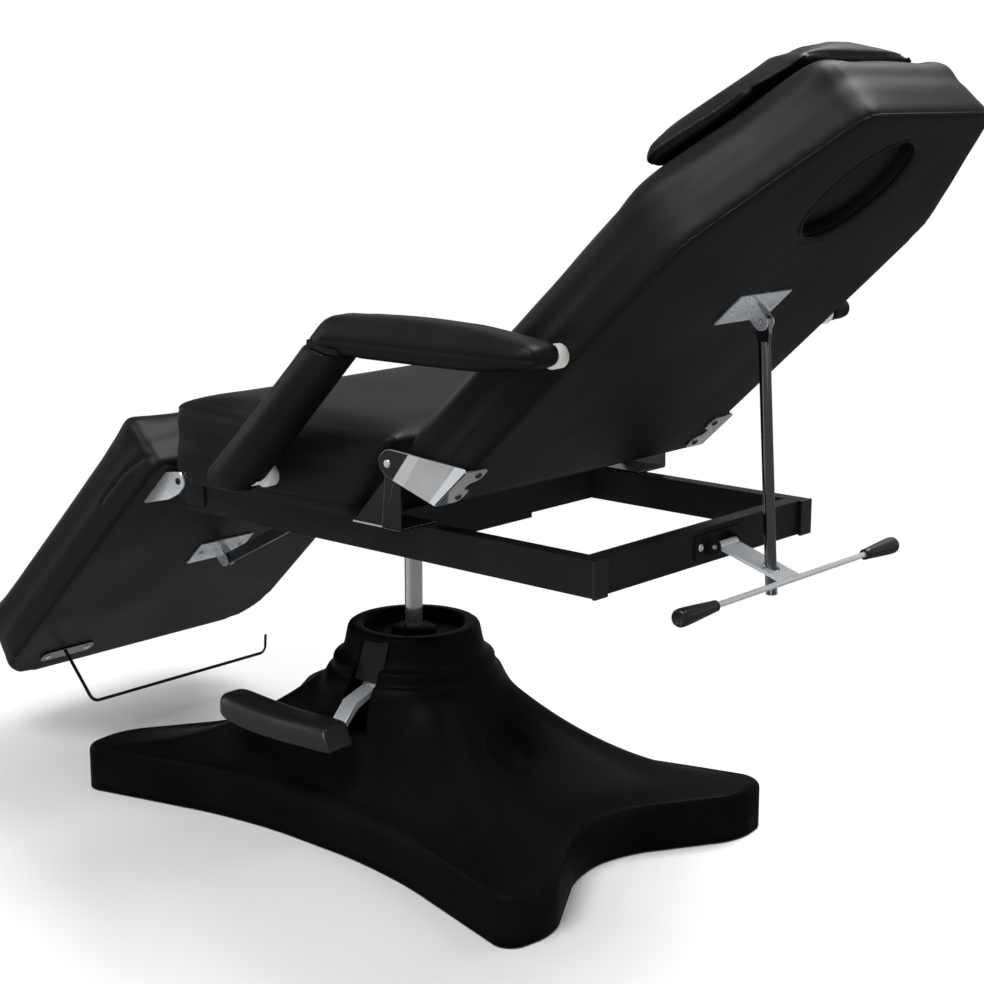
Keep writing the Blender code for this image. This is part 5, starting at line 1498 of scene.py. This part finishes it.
def steelwork():
    """Tubes, plates, bars and pins with eased edges."""
    size = sizes()
    for node in ("side_rail_near", "side_rail_far", "head_rail", "cross_rear", "cross_mid", "foot_strip"):
        eased_copy(node, size.tube_corner)
    for node in ("rail_cap_near", "rail_cap_far", "lever_bracket", "strut_clevis", "leg_clevis",
                 "leg_lug_near", "leg_lug_far", "leg_guide", "leg_sleeve", "pedal_arm", "leg_arm_near",
                 "leg_arm_far"):
        eased_copy(node, size.edge_ease)
    for node, share, look in (("pump_cylinder", 1.0, "shell"), ("column_gland", 1.0, "shell"),
                              ("strut_rod", 0.5, "strut plate"), ("tee_bar", 0.5, "bright plate"),
                              ("lever_plate", 1.0, "bright plate")):
        eased_copy(node, size.edge_ease * share, look)


# Stage

def softbox(name, place, target, width, height, energy):
    lamp = bpy.data.lights.new(name, "AREA")
    lamp.shape = "RECTANGLE"
    lamp.size = width
    lamp.size_y = height
    lamp.energy = energy
    obj = bpy.data.objects.new(name, lamp)
    obj.location = place
    obj.rotation_euler = (Vector(target) - Vector(place)).to_track_quat("-Z", "Y").to_euler()
    bpy.context.scene.collection.objects.link(obj)


def backdrop_shares(tree):
    """1 for rays straight from the camera, and 1 for rays that come by way of a mirror or glass."""
    path = tree.nodes.new("ShaderNodeLightPath")
    mirrored = math_node(tree, "MAXIMUM", path.outputs["Is Glossy Ray"], path.outputs["Is Transmission Ray"])
    return path.outputs["Is Camera Ray"], mirrored


def floor_material():
    """Pale floor that goes to white away from the table, and that mirrors see darker on the right."""
    material = bpy.data.materials.new("floor")
    material.use_nodes = True
    tree = material.node_tree
    shader = tree.nodes["Principled BSDF"]
    shader.inputs["Base Color"].default_value = (*colours().floor, 1.0)
    shader.inputs["Roughness"].default_value = 0.7
    shader.inputs["Specular IOR Level"].default_value = 0.2
    glow = tree.nodes.new("ShaderNodeEmission")
    mix = tree.nodes.new("ShaderNodeMixShader")
    place = tree.nodes.new("ShaderNodeTexCoord").outputs["Object"]
    length = tree.nodes.new("ShaderNodeVectorMath")
    length.operation = "LENGTH"
    tree.links.new(place, length.inputs[0])
    far = range_node(tree, length.outputs["Value"], start=0.55, end=1.25, way="SMOOTHSTEP")
    seen, mirrored = backdrop_shares(tree)
    shown = math_node(tree, "MAXIMUM", math_node(tree, "MULTIPLY", far, seen), mirrored)
    across = tree.nodes.new("ShaderNodeSeparateXYZ")
    tree.links.new(place, across.inputs[0])
    darker = range_node(tree, across.outputs["X"], start=-1.1, end=0.6, low=1.0 - MIRRORED_FLOOR_LEFT,
                        high=1.0 - MIRRORED_FLOOR_RIGHT, way="SMOOTHSTEP")
    level = math_node(tree, "SUBTRACT", 1.0, math_node(tree, "MULTIPLY", mirrored, darker))
    tree.links.new(level, glow.inputs["Strength"])
    for index, output in enumerate((shown, shader.outputs[0], glow.outputs[0])):
        tree.links.new(output, mix.inputs[index])
    tree.links.new(mix.outputs[0], tree.nodes["Material Output"].inputs["Surface"])


def studio_floor():
    half_width = 14.0
    below = 0.0004
    bm = bmesh.new()
    bmesh.ops.create_grid(bm, x_segments=8, y_segments=8, size=half_width)
    bmesh.ops.translate(bm, vec=(0.0, 0.0, -below), verts=bm.verts[:])
    floor_material()
    floor = linked("studio_floor", bm, "floor")


def studio_world():
    """White to the camera, plain light on the table, and a graded sky for mirror-like faces."""
    world = bpy.data.worlds.new("studio")
    bpy.context.scene.world = world
    world.use_nodes = True
    tree = world.node_tree
    sky = tree.nodes["Background"]
    sky.inputs["Color"].default_value = (1.0, 1.0, 1.0, 1.0)
    seen, mirrored = backdrop_shares(tree)
    parts = tree.nodes.new("ShaderNodeSeparateXYZ")
    tree.links.new(tree.nodes.new("ShaderNodeTexCoord").outputs["Generated"], parts.inputs[0])
    graded = range_node(tree, parts.outputs["Z"], start=0.10, end=0.70, low=MIRRORED_HORIZON - AMBIENT_LEVEL,
                        high=MIRRORED_ZENITH - AMBIENT_LEVEL, way="SMOOTHSTEP")
    shown = math_node(tree, "ADD", math_node(tree, "MULTIPLY", seen, 1.0 - AMBIENT_LEVEL),
                      math_node(tree, "MULTIPLY", mirrored, graded))
    tree.links.new(math_node(tree, "ADD", shown, AMBIENT_LEVEL), sky.inputs["Strength"])


def studio():
    scene = bpy.context.scene
    scene.view_settings.view_transform = "Standard"
    studio_floor()
    studio_world()
    softbox("key", place=(0.6, -1.9, 2.8), target=(0.2, 0.0, 0.8), width=1.6, height=1.2, energy=76.0)
    softbox("top", place=(0.7, 1.3, 3.3), target=(0.0, 0.0, 0.5), width=2.0, height=1.6, energy=150.0)
    softbox("left", place=(-3.2, -1.4, 1.6), target=(0.0, 0.0, 0.4), width=1.6, height=1.8, energy=11.0)
    camera = bpy.data.cameras.new("view")
    camera.lens = 69.33
    camera.sensor_width = 36.0
    camera.clip_end = 60.0
    obj = bpy.data.objects.new("view", camera)
    obj.location = (1.9886, -2.0581, 1.1179)
    obj.rotation_euler = (math.radians(78.01), 0.0, math.radians(41.57))
    scene.collection.objects.link(obj)
    scene.camera = obj


# Operators and panel

class TABLE_OT_finishes(bpy.types.Operator):
    """Build the finishes and lay them on the frame's nodes"""
    bl_idname = "table.finishes"
    bl_label = "Finishes"
    bl_options = {"REGISTER", "UNDO"}

    def execute(self, context):
        build_finishes()
        return {"FINISHED"}


class TABLE_OT_seat_pad(bpy.types.Operator):
    """Upholster the seat"""
    bl_idname = "table.seat_pad"
    bl_label = "Seat pad"
    bl_options = {"REGISTER", "UNDO"}

    def execute(self, context):
        seat_pad()
        return {"FINISHED"}


class TABLE_OT_back_pad(bpy.types.Operator):
    """Upholster the backrest with its face hole, plug and pillow"""
    bl_idname = "table.back_pad"
    bl_label = "Back pad"
    bl_options = {"REGISTER", "UNDO"}

    def execute(self, context):
        back_pad()
        face_pad()
        head_pillow()
        return {"FINISHED"}


class TABLE_OT_leg_pad(bpy.types.Operator):
    """Upholster the leg rest"""
    bl_idname = "table.leg_pad"
    bl_label = "Leg pad"
    bl_options = {"REGISTER", "UNDO"}

    def execute(self, context):
        leg_pad()
        return {"FINISHED"}


class TABLE_OT_arm_pads(bpy.types.Operator):
    """Upholster both arms and their posts"""
    bl_idname = "table.arm_pads"
    bl_label = "Arm pads"
    bl_options = {"REGISTER", "UNDO"}

    def execute(self, context):
        arm_pads()
        return {"FINISHED"}


class TABLE_OT_base_cover(bpy.types.Operator):
    """Mould the base's cover and close the pedal's slot"""
    bl_idname = "table.base_cover"
    bl_label = "Base cover"
    bl_options = {"REGISTER", "UNDO"}

    def execute(self, context):
        base_cover()
        slot_panels()
        return {"FINISHED"}


class TABLE_OT_pedal(bpy.types.Operator):
    """Shape the pump pedal's foot pad"""
    bl_idname = "table.pedal"
    bl_label = "Pedal"
    bl_options = {"REGISTER", "UNDO"}

    def execute(self, context):
        pedal_pad()
        return {"FINISHED"}


class TABLE_OT_hinges(bpy.types.Operator):
    """Fit the backrest's hinges"""
    bl_idname = "table.hinges"
    bl_label = "Hinges"
    bl_options = {"REGISTER", "UNDO"}

    def execute(self, context):
        hinge_brackets()
        hinge_arms()
        return {"FINISHED"}


class TABLE_OT_steelwork(bpy.types.Operator):
    """Ease the edges of tubes and plates and set their screws"""
    bl_idname = "table.steelwork"
    bl_label = "Steelwork"
    bl_options = {"REGISTER", "UNDO"}

    def execute(self, context):
        steelwork()
        plate_screws()
        return {"FINISHED"}


class TABLE_OT_small_fittings(bpy.types.Operator):
    """Turn the spacers, nut and grips and fit the paper holder"""
    bl_idname = "table.small_fittings"
    bl_label = "Small fittings"
    bl_options = {"REGISTER", "UNDO"}

    def execute(self, context):
        spacers()
        strut_nut()
        lever_grips()
        paper_holder()
        return {"FINISHED"}


class TABLE_OT_studio(bpy.types.Operator):
    """Set the floor, lamps and camera"""
    bl_idname = "table.studio"
    bl_label = "Studio"
    bl_options = {"REGISTER", "UNDO"}

    def execute(self, context):
        studio()
        return {"FINISHED"}


OPERATORS = (TABLE_OT_finishes, TABLE_OT_seat_pad, TABLE_OT_back_pad, TABLE_OT_leg_pad, TABLE_OT_arm_pads,
             TABLE_OT_base_cover, TABLE_OT_pedal, TABLE_OT_hinges, TABLE_OT_steelwork,
             TABLE_OT_small_fittings, TABLE_OT_studio)


class TABLE_PT_looks(bpy.types.Panel):
    bl_label = "Treatment table"
    bl_idname = "TABLE_PT_looks"
    bl_space_type = "VIEW_3D"
    bl_region_type = "UI"
    bl_category = "Table"

    def draw(self, context):
        for group in (context.scene.table_sizes, context.scene.table_colours):
            column = self.layout.column()
            for key in group.__annotations__:
                column.prop(group, key)
        for operator in OPERATORS:
            self.layout.operator(operator.bl_idname)


CLASSES = (TableSizes, TableColours, *OPERATORS, TABLE_PT_looks)


def register():
    for cls in CLASSES:
        bpy.utils.register_class(cls)
    bpy.types.Scene.table_sizes = PointerProperty(type=TableSizes)
    bpy.types.Scene.table_colours = PointerProperty(type=TableColours)


def unregister():
    del bpy.types.Scene.table_colours
    del bpy.types.Scene.table_sizes
    for cls in reversed(CLASSES):
        bpy.utils.unregister_class(cls)


def main():
    register()
    bpy.ops.table.finishes()
    bpy.ops.table.seat_pad()
    bpy.ops.table.back_pad()
    bpy.ops.table.leg_pad()
    bpy.ops.table.arm_pads()
    bpy.ops.table.base_cover()
    bpy.ops.table.pedal()
    bpy.ops.table.hinges()
    bpy.ops.table.steelwork()
    bpy.ops.table.small_fittings()
    bpy.ops.table.studio()


if __name__ == "__main__":
    main()
